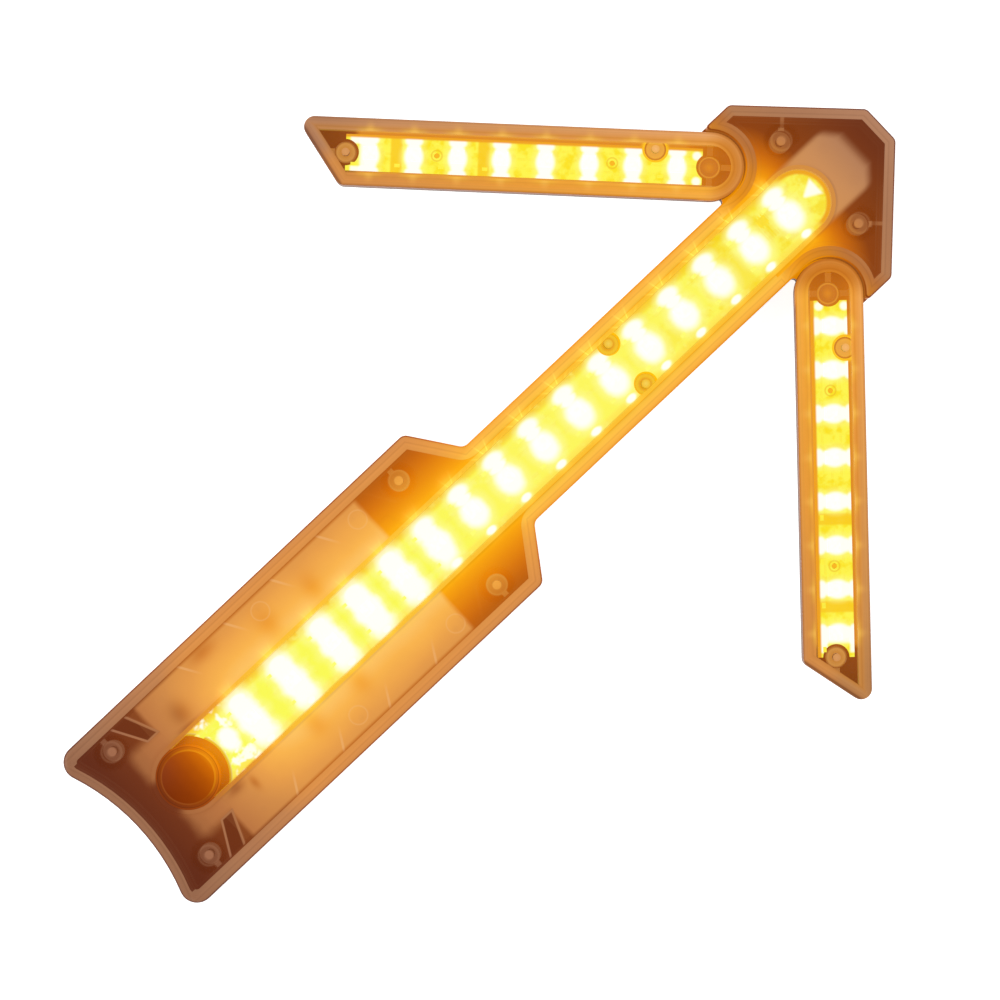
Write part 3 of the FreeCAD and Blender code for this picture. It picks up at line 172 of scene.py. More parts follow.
class Paint:
    """A material under construction: its nodes, and the place of the shaded point in millimetres."""

    def __init__(self, name, roughness=0.5, **sockets):
        self.material = bpy.data.materials.new(name)
        self.material.use_nodes = True
        self.material.cycles.emission_sampling = "NONE"
        self.tree = self.material.node_tree
        self.surface = self.tree.nodes["Principled BSDF"]
        self.surface.inputs["Roughness"].default_value = roughness
        for socket, value in sockets.items():
            self.surface.inputs[socket.replace("_", " ")].default_value = value
        scaled = self.node("ShaderNodeVectorMath", operation="SCALE")
        self.tree.links.new(self.node("ShaderNodeTexCoord").outputs["Object"], scaled.inputs[0])
        scaled.inputs["Scale"].default_value = MM
        self.point = scaled.outputs[0]
        split = self.node("ShaderNodeSeparateXYZ")
        self.tree.links.new(self.point, split.inputs[0])
        self.x, self.y, self.z = (Num(self, s) for s in split.outputs)
        upright = self.node("ShaderNodeSeparateXYZ")
        self.tree.links.new(self.node("ShaderNodeNewGeometry").outputs["True Normal"], upright.inputs[0])
        self.level = self.rise(abs(Num(self, upright.outputs[2])), 0.6, 0.8)

    def node(self, kind, **settings):
        made = self.tree.nodes.new(kind)
        for key, value in settings.items():
            setattr(made, key, value)
        return made

    def feed(self, socket, value):
        if isinstance(value, Num):
            value = value.socket
        if isinstance(value, bpy.types.NodeSocket):
            self.tree.links.new(value, socket)
        elif isinstance(value, tuple) and len(value) == 3 and socket.type == "RGBA":
            socket.default_value = (*value, 1.0)
        else:
            socket.default_value = value

    def math(self, operation, *values):
        made = self.node("ShaderNodeMath", operation=operation)
        for socket, value in zip(made.inputs, values):
            self.feed(socket, value)
        return Num(self, made.outputs[0])

    def least(self, a, b):
        return self.math("MINIMUM", a, b)

    def most(self, a, b):
        return self.math("MAXIMUM", a, b)

    def rise(self, value, low, high):
        """0 below low, 1 above high, smooth between. It falls if low is the larger."""
        made = self.node("ShaderNodeMapRange", interpolation_type="SMOOTHSTEP")
        self.feed(made.inputs["Value"], value)
        first, last = (low, high) if low < high else (high, low)
        self.feed(made.inputs["From Min"], first)
        self.feed(made.inputs["From Max"], last)
        self.feed(made.inputs["To Min"], 0.0 if low < high else 1.0)
        self.feed(made.inputs["To Max"], 1.0 if low < high else 0.0)
        return Num(self, made.outputs["Result"])

    def within(self, value, low, high, soft):
        """1 between low and high, with edges that are soft wide."""
        return self.rise(value, low - soft, low + soft) * self.rise(value, high + soft, high - soft)

    def away(self, x, y):
        """Millimetres from a point of the plan."""
        return self.length(self.x - x, self.y - y)

    def length(self, *values):
        total = values[0] * values[0]
        for value in values[1:]:
            total = total + value * value
        return self.math("SQRT", total)

    def blob(self, dx, dy, rx, ry):
        """1 at the centre of an ellipse, falling to 0 well outside it like a bell."""
        away = self.length(dx / rx, dy / ry)
        return self.math("EXPONENT", away * away * -1.0)

    def noise(self, scale, detail=3.0, stretch=(1.0, 1.0, 1.0)):
        """Soft random variation from 0 to 1, about 1 / scale millimetres across."""
        made = self.node("ShaderNodeTexNoise")
        stretched = self.node("ShaderNodeVectorMath", operation="MULTIPLY")
        self.tree.links.new(self.point, stretched.inputs[0])
        stretched.inputs[1].default_value = stretch
        self.tree.links.new(stretched.outputs[0], made.inputs["Vector"])
        made.inputs["Scale"].default_value = scale
        made.inputs["Detail"].default_value = detail
        return Num(self, made.outputs[0])

    def ramp(self, value, stops):
        """A colour that follows value through stops, each a position and a linear RGB colour."""
        first, last = stops[0][0], stops[-1][0]
        made = self.node("ShaderNodeValToRGB")
        self.feed(made.inputs[0], (value - first) / (last - first))
        marks = made.color_ramp.elements
        while len(marks) < len(stops):
            marks.new(0.5)
        for mark, (position, _) in zip(marks, stops):
            mark.position = (position - first) / (last - first)
        for mark, (_, colour) in zip(marks, stops):
            mark.color = (*colour, 1.0)
        return made.outputs[0]

    def mix(self, factor, a, b):
        """Colour a where the factor is 0, and b where it is 1."""
        made = self.node("ShaderNodeMix", data_type="RGBA")
        self.feed(made.inputs["Factor"], factor)
        self.feed(made.inputs[6], a)
        self.feed(made.inputs[7], b)
        return made.outputs[2]

    def vector(self, operation, a, b):
        made = self.node("ShaderNodeVectorMath", operation=operation)
        self.feed(made.inputs[0], a)
        self.feed(made.inputs[1], b)
        return made.outputs[0]

    def tint(self, colour, factor):
        """The colour times a number that varies or another colour."""
        return self.vector("MULTIPLY", colour, factor)

    def add(self, a, b):
        return self.vector("ADD", a, b)

    def bump(self, height, distance, strength):
        """Bump from a height of 0 to 1, distance deep in millimetres."""
        made = self.node("ShaderNodeBump")
        made.inputs["Distance"].default_value = distance / MM
        made.inputs["Strength"].default_value = strength
        self.feed(made.inputs["Height"], height)
        self.tree.links.new(made.outputs[0], self.surface.inputs["Normal"])

    def show(self, colour, glow=None, roughness=None, alpha=None):
        """Sets the surface's own colour and, where given, its light, roughness and alpha."""
        self.feed(self.surface.inputs["Base Color"], colour)
        if glow is not None:
            self.feed(self.surface.inputs["Emission Color"], glow)
            self.surface.inputs["Emission Strength"].default_value = 1.0
        if roughness is not None:
            self.feed(self.surface.inputs["Roughness"], roughness)
        if alpha is not None:
            self.feed(self.surface.inputs["Alpha"], alpha)
        return self.material


# ---------------------------------------------------------------- plan of the object and its light

def outline_depth(p):
    """Millimetres inside the body's outline, negative outside it."""
    side = abs(p.y)
    nx, ny = SHOULDER_NORMAL
    shoulder = (SHOULDER_X - p.x) * nx + (SHAFT_HALF - side) * ny
    tail = p.away(TAIL_CENTRE_X, 0.0) - TAIL_RADIUS
    housing = p.least(p.least(HOUSING_HALF - side, shoulder), tail)
    shaft = p.least(SHAFT_HALF - side, p.least(p.x - SHAFT_FROM_X, SHAFT_TO_X - p.x))
    pocket = p.length(p.x, side - PIVOT_Y) - POCKET_R
    diagonal = (TIP_DIAGONAL - p.x - side) * HALF_ROOT
    head = p.least(p.least(HEAD_HALF - side, TIP_X - p.x), p.least(diagonal, pocket))
    return p.most(p.most(housing, shaft), p.least(head, p.x - HEAD_FROM_X))


def strip_distance(p):
    """Millimetres from the lit strip of the shaft; off its two ends the light falls away faster."""
    past_tail = p.most(STRIP_TAIL_X - p.x, 0.0)
    past_end = p.most(p.x - LED_FIRST_X, 0.0) * STRIP_END_FALL + past_tail * past_tail * STRIP_TAIL_FALL
    return p.length(past_end, p.most(abs(p.y) - WINDOW_HALF, 0.0))


def window_distance(p):
    """Millimetres outside the round-ended slot of the window, negative inside it."""
    past_end = p.most(p.x - WINDOW_END_X, 0.0) + p.most(BUTTON_X - p.x, 0.0)
    return p.length(past_end, p.y) - WINDOW_HALF


def led_offset(p):
    """Millimetres along the shaft from the nearest LED, positive towards the tip."""
    step = p.math("ROUND", (LED_FIRST_X - p.x) / LED_PITCH)
    step = p.least(p.most(step, 0.0), float(LED_LAST))
    near = p.x - LED_FIRST_X + step * LED_PITCH
    last = LED_FIRST_X - LED_LAST * LED_PITCH
    for extra in (1, 2):
        other = p.x - (last - extra * LED_TAIL_PITCH)
        closer = p.math("LESS_THAN", abs(other), abs(near))
        near = near + (other - near) * closer
    return near


def arm_place(p, side):
    """Millimetres along an arm from its pivot, and across it with the outer edge positive."""
    joint = JOINTS[f"{side}_arm_fold"]
    opened = math.radians(joint["range_deg"][1])
    sign = SIDES[side]
    px, py = joint["pos_m"][0] * MM, joint["pos_m"][1] * MM
    dx, dy = p.x - px, p.y - py
    along = dx * -math.cos(opened) + dy * (sign * math.sin(opened))
    across = dx * math.sin(opened) + dy * (sign * math.cos(opened))
    return along, across


def arm_led_offset(p, along):
    """Millimetres along an arm from its nearest LED."""
    step = p.math("ROUND", (along - ARM_LED_FIRST) / ARM_LED_PITCH)
    step = p.least(p.most(step, 0.0), float(ARM_LED_LAST))
    return along - ARM_LED_FIRST - step * ARM_LED_PITCH


# Colours of the amber light in the plastic, by millimetres from the lit strip.
DEEP = [(0.0, shade(254, 192, 3)), (1.5, shade(254, 180, 2)), (4.0, shade(248, 163, 0)),
        (8.0, shade(236, 143, 0)), (13.0, shade(218, 120, 0)), (17.0, shade(201, 104, 1)),
        (28.0, shade(144, 66, 8)), (45.0, shade(130, 60, 14)), (66.0, shade(115, 50, 17)),
        (90.0, shade(100, 40, 14))]
CLOUD = [(0.0, shade(255, 214, 105)), (1.5, shade(253, 200, 93)), (4.0, shade(253, 193, 95)),
         (8.0, shade(250, 181, 77)), (13.0, shade(241, 168, 74)), (17.0, shade(231, 157, 73)),
         (26.0, shade(211, 140, 71)), (41.0, shade(188, 118, 64)), (58.0, shade(171, 106, 59)),
         (90.0, shade(150, 92, 55))]
RIM = [(0.0, shade(254, 200, 62)), (2.0, shade(253, 196, 62)), (4.0, shade(251, 187, 68)),
       (6.0, shade(247, 174, 62)), (12.0, shade(234, 158, 68)), (23.0, shade(219, 144, 72)),
       (30.0, shade(194, 130, 79)), (47.0, shade(177, 119, 79)), (75.0, shade(163, 113, 80)),
       (110.0, shade(150, 102, 74))]
RELIEF = [(0.0, shade(255, 214, 110)), (8.0, shade(252, 192, 84)), (17.0, shade(236, 164, 66)),
          (30.0, shade(204, 138, 82)), (60.0, shade(178, 122, 88)), (90.0, shade(166, 110, 80))]
HEAD_RIM = [(-10.0, shade(247, 173, 48)), (0.0, shade(228, 143, 16)), (10.0, shade(205, 126, 36)),
            (15.0, shade(183, 112, 55)), (20.0, shade(178, 123, 82)), (35.0, shade(172, 120, 86)),
            (56.0, shade(180, 129, 97))]
# White of the LEDs' glare painted on their boards.
WHITE_GLARE = (1.12, 1.10, 0.98)
WALL_SHADE = (0.70, 0.60, 0.52)
LIT_SHARE = 0.30


def grey(level):
    return (level, level, level)


def shown(p, colour, alpha=None, share=LIT_SHARE):
    """Paints a surface whose look is mostly light from inside, and partly the room's light on it."""
    return p.show(p.tint(colour, grey(share)), glow=p.tint(colour, grey(1.0 - share)), alpha=alpha)


# ---------------------------------------------------------------- materials of the body

def nose_place(p):
    """X along the board's nose under the head, counted so that its cut corners are at one value."""
    return p.x + p.most(abs(p.y) - 7.5, 0.0) * 0.85


def pale_cloud(p):
    """1 where the pale tray and the board's nose lie under the frosted skin, with soft edges."""
    side = abs(p.y)
    wobble = (p.noise(0.12, detail=2.0) - 0.5) * 3.0
    tray = p.within(p.x + wobble * 0.4, -290.2, -179.5, 1.3) * p.rise(side, 33.0, 31.0)
    lobes = p.within(p.x + wobble, -304.0, -287.0, 3.0) * p.rise(side + wobble * 0.5, 23.0, 17.5)
    lobes = lobes * (1.0 - p.rise(p.x, -299.0, -304.0) * p.rise(side, 9.0, 5.0))
    nose = p.rise(nose_place(p), 45.0, 39.5) * p.rise(p.x, 10.0, 13.0) * p.rise(side, 14.6, 12.0)
    return p.most(tray, lobes), nose


# Centre and half sizes of each patch.
LEAKS = ((-279.0, 19.0, 4.0, 5.0), (-280.0, 13.5, 5.0, 2.0), (-233.0, 20.0, 4.5, 7.0),
         (-212.0, 19.0, 4.0, 6.0), (-245.5, -17.0, 4.2, 5.5), (-223.0, -17.0, 4.0, 5.0),
         (-258.0, 30.0, 6.0, 3.0), (-283.0, -15.0, 4.0, 2.0), (-276.5, -18.0, 1.5, 3.0))


def blotches(p):
    """Brighter orange patches where light leaks between the tray and the skin."""
    spots = [p.blob(p.x - x, p.y - y, rx, ry) for x, y, rx, ry in LEAKS]
    return reduce(p.most, spots)


def stars(p):
    """Thin rays and a faint glow that spread over the skin from each LED at the window's edges."""
    dx = led_offset(p)
    dy = p.y - 9.0
    reach = p.length(dx, dy)
    angle = p.math("ARCTAN2", dy, dx)
    rays = abs(p.math("COSINE", angle * 5.0 + 0.35)) ** 26.0
    fan = rays * p.rise(reach, 9.5, 2.0) * p.rise(p.y, 9.0, 11.0)
    low = p.blob(dx, p.y + WINDOW_HALF, 3.0, 1.8) * 0.12
    halo = p.blob(dx, p.y - WINDOW_HALF, 3.4, 3.2) * 0.30
    return fan * (p.rise(p.x, -160.0, -130.0) * 0.24 + 0.10) + halo + low


def boss_reach(p):
    """Millimetres to the nearest of the front shell's screw bosses."""
    return reduce(p.least, [p.length(p.x - x, abs(p.y) - y) for x, y in SHELL_BOSSES])


def head_rib(p):
    """The thin web from each head boss to the slanted wall beside it."""
    x, y = SHELL_BOSSES[2]
    dx, dy = p.x - x, abs(p.y) - y
    along, across = (dx + dy) * HALF_ROOT, (dx - dy) * HALF_ROOT
    return p.within(across, -0.7, 0.7, 0.25) * p.within(along, 3.6, 10.5, 0.5)


def tail_window(p):
    """The slanted four-sided frame beside each tail boss: the painted shade inside it and the painted light
    on its outline.
    """
    side = abs(p.y)
    up = side - TAIL_RIB_FOOT_Y
    left, right = (p.x - foot + up * slant for foot, slant in zip(TAIL_RIB_FEET, TAIL_RIB_SLANTS))
    inside = p.rise(left, -0.4, 0.0) * p.rise(right, 0.4, 0.0)
    inside = inside * p.within(side, TAIL_RIB_FOOT_Y, TRAY_HALF, 0.3)
    border = p.most(p.rise(left, 1.0, 0.5), p.most(p.rise(right, -1.0, -0.5), p.rise(up, 1.0, 0.5)))
    return inside, inside * border


def skin_colour(p, away, cloud, nose):
    """The frosted front panel in painted light: deep amber, with the pale cloud of the lit parts close under
    it.
    """
    mottle = p.noise(0.05, detail=4.0)
    pale = p.ramp(away + (mottle - 0.5) * 7.0, CLOUD)
    leak = blotches(p) * 0.55
    pale = p.mix(leak, pale, p.ramp(away, DEEP))
    panel = p.mix(cloud, p.ramp(away, DEEP), pale)
    # The board's nose under the skin in painted light, dimmer towards the tip.
    board = p.ramp(p.x, [(14.0, shade(222, 150, 66)), (22.0, shade(212, 148, 86)),
                         (30.0, shade(206, 144, 90)), (40.0, shade(186, 130, 90))])
    panel = p.mix(nose * 0.95, panel, board)
    # Painted light along the slanted ribs under the skin.
    slanted = p.x - (TRAY_HALF - abs(p.y)) * SIDE_RIB_SLANT - SIDE_RIB_X
    marks = p.rise(p.math("PINGPONG", slanted, SIDE_RIB_PITCH / 2.0), 0.7, 0.3)
    marks = marks * p.rise(abs(p.y), 23.0, 30.0) * p.rise(slanted, -3.0, -1.0)
    panel = p.mix(marks * cloud * 0.30, panel, shade(250, 200, 140))
    # Painted light on faint rings under the skin.
    for x in FAINT_RINGS_X:
        ring = p.within(p.length(p.x - x, abs(p.y) - FAINT_RING_Y), 3.2, 3.7, 0.25)
        panel = p.mix(ring * cloud * 0.25, panel, shade(248, 196, 130))
    # Painted shade inside each tail frame, painted light on its outline.
    inside, border = tail_window(p)
    panel = p.mix(border * 0.65, p.mix(inside * 0.9, panel, shade(108, 44, 8)), p.ramp(away, RELIEF))
    # Painted light on the bosses and on the webs of the head.
    reach = boss_reach(p)
    glow_ring = p.within(reach, 3.3, 4.1, 0.35) * 0.35 + p.rise(reach, 2.1, 1.4) * 0.55
    return p.mix(p.most(glow_ring, head_rib(p) * 0.45), panel, p.ramp(away, RELIEF))


def rim_colour(p, away, depth, groove):
    """The raised rim in painted light: painted shade on its rounded outer edge, light band, painted shade at
    the groove, light band and darker inner edge, by depth in the outline.
    """
    rim = p.mix(p.rise(p.x, HEAD_FROM_X, -4.0), p.ramp(away, RIM), p.ramp(p.x, HEAD_RIM))
    fine = p.noise(0.5, detail=2.0, stretch=(0.15, 1.0, 1.0))
    lines = 1.0 - p.rise(depth, 0.7, 0.05) * 0.13 + p.within(depth, 1.0, 2.2, 0.25) * 0.04
    lines = lines - p.within(depth, 2.35, 2.75, 0.15) * 0.07 + p.within(depth, 2.9, 3.6, 0.3) * 0.05
    lines = lines - p.rise(depth, 4.4, 4.9) * 0.04 - groove * 0.08 + (fine - 0.5) * 0.06
    return p.tint(rim, lines)


def skin_opacity(p, depth, cloud, raised, under):
    """Least near the bosses, which show through the skin, and most over the pale parts and at the rim.

    The panel's underside is clear and the lower ends of its bosses and ribs nearly so, or they would be
    seen twice.
    """
    reach = boss_reach(p)
    dense = p.mix(p.rise(reach, 7.5, 5.5), grey(0.84), grey(0.42))
    over_board = p.rise(p.x, 20.0, 25.0) * p.rise(abs(p.y), 17.0, 15.5)
    panel = p.mix(p.most(cloud, over_board), dense, grey(0.93))
    solid = p.most(raised, p.rise(depth, 1.3, 0.9))
    opacity = p.mix(under, p.mix(solid, panel, grey(0.95)), grey(0.9))
    rib_feet = p.within(p.z, *RIB_FEET_Z, 0.1) * p.rise(p.x, -292.0, -289.0) * p.rise(reach, 4.6, 5.2)
    opacity = p.mix(p.level * rib_feet, opacity, grey(0.12))
    opacity = p.mix(p.level * p.within(p.z, *BOSS_FEET_Z, 0.1), opacity, grey(0.15))
    return p.mix(p.level * p.within(p.z, *CEILING_Z, 0.05), opacity, grey(0.0))


def frosted_body():
    """The front shell in painted light: frosted panel, stepped rim, a bead round the window, ribs and bosses
    under it, with painted shade on its walls and in the groove beside the window.
    """
    p = Paint("frosted_shell", roughness=0.42, Specular_IOR_Level=0.12)
    away = strip_distance(p)
    depth = outline_depth(p)
    cloud, nose = pale_cloud(p)
    slot = window_distance(p)
    # Painted shadow of the bead in the groove beside the window, deeper on the side of -Y.
    groove = p.within(slot, 1.55, 2.35, 0.25) * p.rise(p.x, -288.0, -284.0)
    panel = skin_colour(p, away, cloud, nose)
    panel = p.tint(panel, 1.0 - groove * (0.03 + p.rise(p.y, 1.0, -1.0) * 0.05))
    rim = rim_colour(p, away, depth, groove)
    # The bead round the window in painted light, dimmer away from the strip, one tan colour in the head.
    bead = p.ramp(away, [(0.0, shade(253, 196, 50)), (10.0, shade(240, 160, 40)),
                         (30.0, shade(206, 126, 44)), (50.0, shade(168, 98, 44))])
    bead = p.mix(p.rise(p.x, 12.0, 20.0), bead, shade(214, 142, 62))
    raised = p.rise(p.z, *RAISED_Z)
    past_bead = p.rise(slot, *BEAD_EDGE)
    top = p.mix(raised * past_bead, panel, rim)
    top = p.mix(raised * (1.0 - past_bead) * p.rise(p.x, -295.0, -287.0), top, bead)
    glint = stars(p) * p.rise(p.z, *PANEL_Z) * p.rise(p.x, -270.0, -264.0) * p.rise(p.x, 12.0, 9.0)
    top = p.add(top, p.tint((1.0, 0.78, 0.16), glint))
    wall = p.tint(rim, WALL_SHADE)
    outer = p.mix(p.rise(p.z, *WALL_TOP_Z), wall, top)
    # Ribs and bosses under the panel in painted light, brighter the higher they reach towards the skin.
    relief = p.ramp(away, RELIEF)
    relief = p.tint(relief, 0.90 + p.rise(p.z, 18.0, 21.0) * 0.25 + p.rise(p.z, 21.3, 21.6) * 0.35)
    under = p.level * p.rise(p.z, *UNDERSIDE_Z)
    p.bump(p.noise(1.6, detail=2.0), 0.05, strength=0.25)
    return shown(p, p.mix(under, outer, relief), alpha=skin_opacity(p, depth, cloud, raised, under))


def window():
    """The clear lens over the shaft's LEDs, with its two screw bosses; its undersides and bosses painted in
    the LEDs' amber light.
    """
    p = Paint("window_lens", roughness=0.06)
    boss = p.length(p.x - WINDOW_BOSS[0], abs(p.y) - WINDOW_BOSS[1])
    disc = p.ramp(boss, [(0.0, shade(253, 218, 88)), (1.5, shade(251, 198, 40)), (1.9, shade(235, 160, 12)),
                         (3.0, shade(250, 200, 28)), (3.7, shade(248, 196, 25)), (4.1, shade(222, 140, 4))])
    under = p.level * p.rise(p.z, *LENS_UNDER_Z)
    rim = p.rise(p.z, *LENS_TOP_Z) * p.rise(window_distance(p), -0.45, -0.15)
    grain = p.noise(0.4, detail=2.0) * 0.1 + 0.9
    colour = p.tint(p.mix(under, shade(249, 188, 40), disc), grain)
    return shown(p, colour, alpha=p.most(under * 0.95, rim * 0.6 + 0.02), share=0.12)


def button_place(p):
    """Millimetres from the button's axis, and from -1 on its dark side to 1 on the LEDs' side."""
    reach = p.away(BUTTON_X, 0.0)
    return reach, (p.x - BUTTON_X) / p.most(reach, 0.5)


def button_arcs(p, base):
    """Bright arcs of the board's light in the clear plastic beside the button."""
    reach, facing = button_place(p)
    arcs = p.ramp(reach, [(11.9, shade(228, 150, 12)), (12.4, shade(254, 222, 74)),
                          (13.0, shade(233, 180, 28)), (13.7, shade(252, 214, 52)),
                          (14.5, shade(246, 196, 30)), (15.2, shade(240, 200, 44)),
                          (15.9, shade(254, 250, 170))])
    dim = p.ramp(facing, [(-1.0, (0.10, 0.05, 0.04)), (0.0, (0.30, 0.20, 0.10)), (0.55, (0.75, 0.60, 0.20)),
                          (0.85, (0.95, 0.85, 0.8)), (1.0, (1.0, 1.0, 1.0))])
    return p.mix(p.rise(reach, 16.4, 15.8) * p.rise(facing, 0.1, 0.4), base, p.tint(arcs, dim))


def bar_shape(dx, dy, rx, ry):
    """Below 1 inside a bar with well rounded corners."""
    squareness = 3.5
    return (abs(dx / rx) ** squareness + abs(dy / ry) ** squareness) ** (1.0 / squareness)


def hot_spots(p, dx, y):
    """Painted white glare of each LED on the shaft's board: three blobs by the head, one tall bar in the
    housing.
    """
    wobble = (p.noise(0.30, detail=2.0) - 0.5) * 2.2
    core = p.length((dx + wobble * 0.6) / 4.9, (y + 1.2) / 6.0)
    upper = p.length(dx / 4.3, (y - 7.9) / 2.7)
    waist = p.length((dx + wobble * 0.8) / 3.4, (y - 4.9) / 2.0)
    lower = p.length((dx - wobble * 0.5) / 2.1, (y + 10.3) / 1.3)
    bulge = p.math("COSINE", (y - LIT_MIDDLE_Y) * 0.75) * 0.4
    bar = bar_shape(dx + wobble, y - LIT_MIDDLE_Y, 5.1 + bulge, 11.4)
    housing = p.rise(p.x, -150.0, -182.0)
    blobs = p.least(p.least(core, waist), p.least(upper, lower))
    return blobs + (p.least(bar, blobs) - blobs) * housing


def main_board():
    """The lit board in painted light: white glare at the LEDs, yellow light between them, painted orange
    shade at its edges, with faint pads and tracks.
    """
    p = Paint("main_board", roughness=0.35, Specular_IOR_Level=0.2)
    y = p.y
    nearness = hot_spots(p, led_offset(p), y)
    housing = p.rise(p.x, -130.0, -185.0)
    centre = p.mix(housing, shade(252, 248, 92), shade(249, 251, 84))
    # Across the board: painted orange shade towards both edges, yellow light in the middle.
    across = p.ramp(y, [(-13.2, shade(244, 165, 8)), (-12.4, shade(246, 190, 40)),
                        (-12.0, shade(249, 208, 66)), (-11.4, shade(254, 233, 84)),
                        (-9.5, shade(254, 240, 90)), (0.0, shade(253, 246, 66)),
                        (7.8, shade(252, 251, 106)), (9.0, shade(253, 246, 84)),
                        (9.6, shade(252, 233, 70)), (10.4, shade(251, 219, 66)),
                        (11.2, shade(250, 208, 58)), (12.4, shade(251, 194, 44))])
    base = p.mix(p.rise(abs(y - LIT_MIDDLE_Y), 8.0, 9.5), centre, across)
    grain = p.noise(0.22, detail=4.0)
    tracks = p.within(p.math("PINGPONG", y + p.x * 0.02, 2.3), 0.15, 0.55, 0.2) * p.rise(grain, 0.50, 0.62)
    band = p.within(p.x, -22.0, -15.2, 0.8) * 0.45
    marks = p.within(p.math("PINGPONG", p.x, 1.1), 0.25, 0.7, 0.1) * p.rise(grain, 0.48, 0.52)
    chips = p.within(p.x, -3.6, 3.2, 0.4) * (p.within(y, -3.5, 5.5, 0.5) * marks * 0.6 + 0.15)
    base = p.mix(p.least(tracks * 0.30 + band + chips, 0.8), base, shade(247, 214, 26))
    base = p.mix(p.rise(grain, 0.52, 0.75) * 0.5, base, shade(254, 254, 132))
    dull = p.rise(p.noise(0.16, detail=3.0), 0.50, 0.66) * p.rise(p.x, -90.0, -10.0)
    base = p.mix(dull * 0.7, base, shade(247, 218, 12))
    # More painted white glare: a wedge in the window's rounded tip, patches and a blob by the button.
    wedge = p.rise(abs(y) - (p.x - 17.0) * 0.55, 0.9, -0.9) * p.within(p.x, 17.5, 23.6, 0.7)
    near_button = p.within(p.x, -280.0, -267.5, 1.6)
    patch = near_button * p.rise(p.noise(0.26, detail=2.0), 0.44, 0.62)
    blob = p.rise(p.length((p.x + 272.8) / 0.85, y + (grain - 0.5) * 6.0), 6.2, 2.8)
    hot = p.most(p.rise(nearness, 1.32, 0.66), p.most(wedge * 0.9, p.most(patch * 0.9, blob)))
    lit = p.mix(p.rise(nearness, 1.9, 1.0) * 0.6, base, shade(255, 255, 160))
    lit = p.mix(hot, lit, WHITE_GLARE)
    slot = window_distance(p)
    # Painted orange shade on the board under the rounded tip of the window's slot.
    window_end_shade = p.rise(slot, -2.2, -1.0) * p.rise(p.x, 13.0, 17.0)
    lit = p.mix(window_end_shade, lit, shade(240, 168, 30))
    # The nose under the frosted head in painted light, dimmer towards the tip, with deep amber light round
    # it.
    nose = p.ramp(p.x, [(14.0, shade(226, 154, 70)), (24.0, shade(212, 148, 94)),
                        (40.0, shade(190, 134, 95))])
    edge = p.rise(nose_place(p), 46.0, 40.0) * p.rise(abs(y), 13.2, 11.0)
    nose = p.mix(edge, p.ramp(strip_distance(p), DEEP), nose)
    colour = p.mix(p.rise(slot, -0.4, 0.4) * p.rise(p.x, 12.0, 15.0), lit, nose)
    return shown(p, colour, share=0.05)


def glow(name, colour, share):
    """A part lit up by the LEDs beside it, with a little unevenness."""
    p = Paint(name, roughness=0.4)
    uneven = p.noise(0.6, detail=3.0) * 0.3 + 0.85
    return shown(p, p.tint(colour, uneven), share=share)


def plain(name, colour, roughness, metallic=0.0):
    """A moulded, turned or sheet part in the room's light: slight shading and a fine surface grain."""
    p = Paint(name, roughness=roughness, Metallic=metallic)
    fine = p.noise(0.8, detail=2.0)
    p.bump(fine, 0.04, strength=0.3)
    value = p.noise(0.12, detail=4.0) * 0.3 + 0.85
    return p.show(p.tint(colour, value), roughness=fine * 0.15 + (roughness - 0.07))


def dark_outside(p, inner, inside):
    """Dark textured plastic in the room's light, and the colour inner as light where inside is 1."""
    grain = p.noise(2.2, detail=2.0)
    skin = p.tint(shade(92, 62, 44), grain * 0.4 + 0.8)
    p.bump(grain, 0.04, strength=0.3)
    surface = p.mix(inside, skin, p.tint(inner, grey(0.3)))
    return p.show(surface, glow=p.tint(inner, p.tint(grey(0.8), inside)))


def rear_plastic():
    """The rear shell: dark textured plastic outside, deep amber light on its inner faces."""
    p = Paint("rear_shell", roughness=0.5, Specular_IOR_Level=0.2)
    away = strip_distance(p)
    above_floor = p.rise(p.z, *REAR_FLOOR_Z)
    hollow = p.rise(outline_depth(p), 1.1, 1.6) * above_floor
    pocket = p.rise(p.length(p.x, abs(p.y) - PIVOT_Y), POCKET_R + 1.6, POCKET_R + 1.2) * above_floor
    inside = p.most(hollow, p.most(pocket * p.level, p.rise(p.z, *REAR_RIM_Z)))
    inner = p.tint(p.ramp(away, DEEP), p.noise(0.1, detail=3.0) * 0.2 + 0.90)
    return dark_outside(p, inner, inside)


def tray_light(name, level=1.0):
    """Pale parts of the battery bay in the light that comes from the strip."""
    p = Paint(name, roughness=0.5, Specular_IOR_Level=0.2)
    away = strip_distance(p)
    mottle = p.noise(0.05, detail=4.0)
    colour = p.ramp(away + (mottle - 0.5) * 7.0, CLOUD)
    colour = p.mix(blotches(p) * 0.8, colour, p.ramp(away, DEEP))
    colour = button_arcs(p, colour)
    return shown(p, p.tint(colour, grey(level)))


def strip_lit(name, ramp):
    """A dull part inside the body that takes its colour from the light that reaches it."""
    p = Paint(name, roughness=0.55, Specular_IOR_Level=0.2)
    uneven = p.noise(0.5, detail=2.0) * 0.16 + 0.90
    return shown(p, p.tint(p.ramp(strip_distance(p), ramp), uneven))


def switch_area(name):
    """The parts under the button, seen through it and the clear plastic round it, painted in dim amber light
    with the board's bright arcs.
    """
    p = Paint(name, roughness=0.4, Specular_IOR_Level=0.2)
    grain = p.noise(0.8, detail=2.0) * 0.2 + 0.85
    return shown(p, p.tint(button_arcs(p, shade(128, 52, 6)), grain), share=0.1)


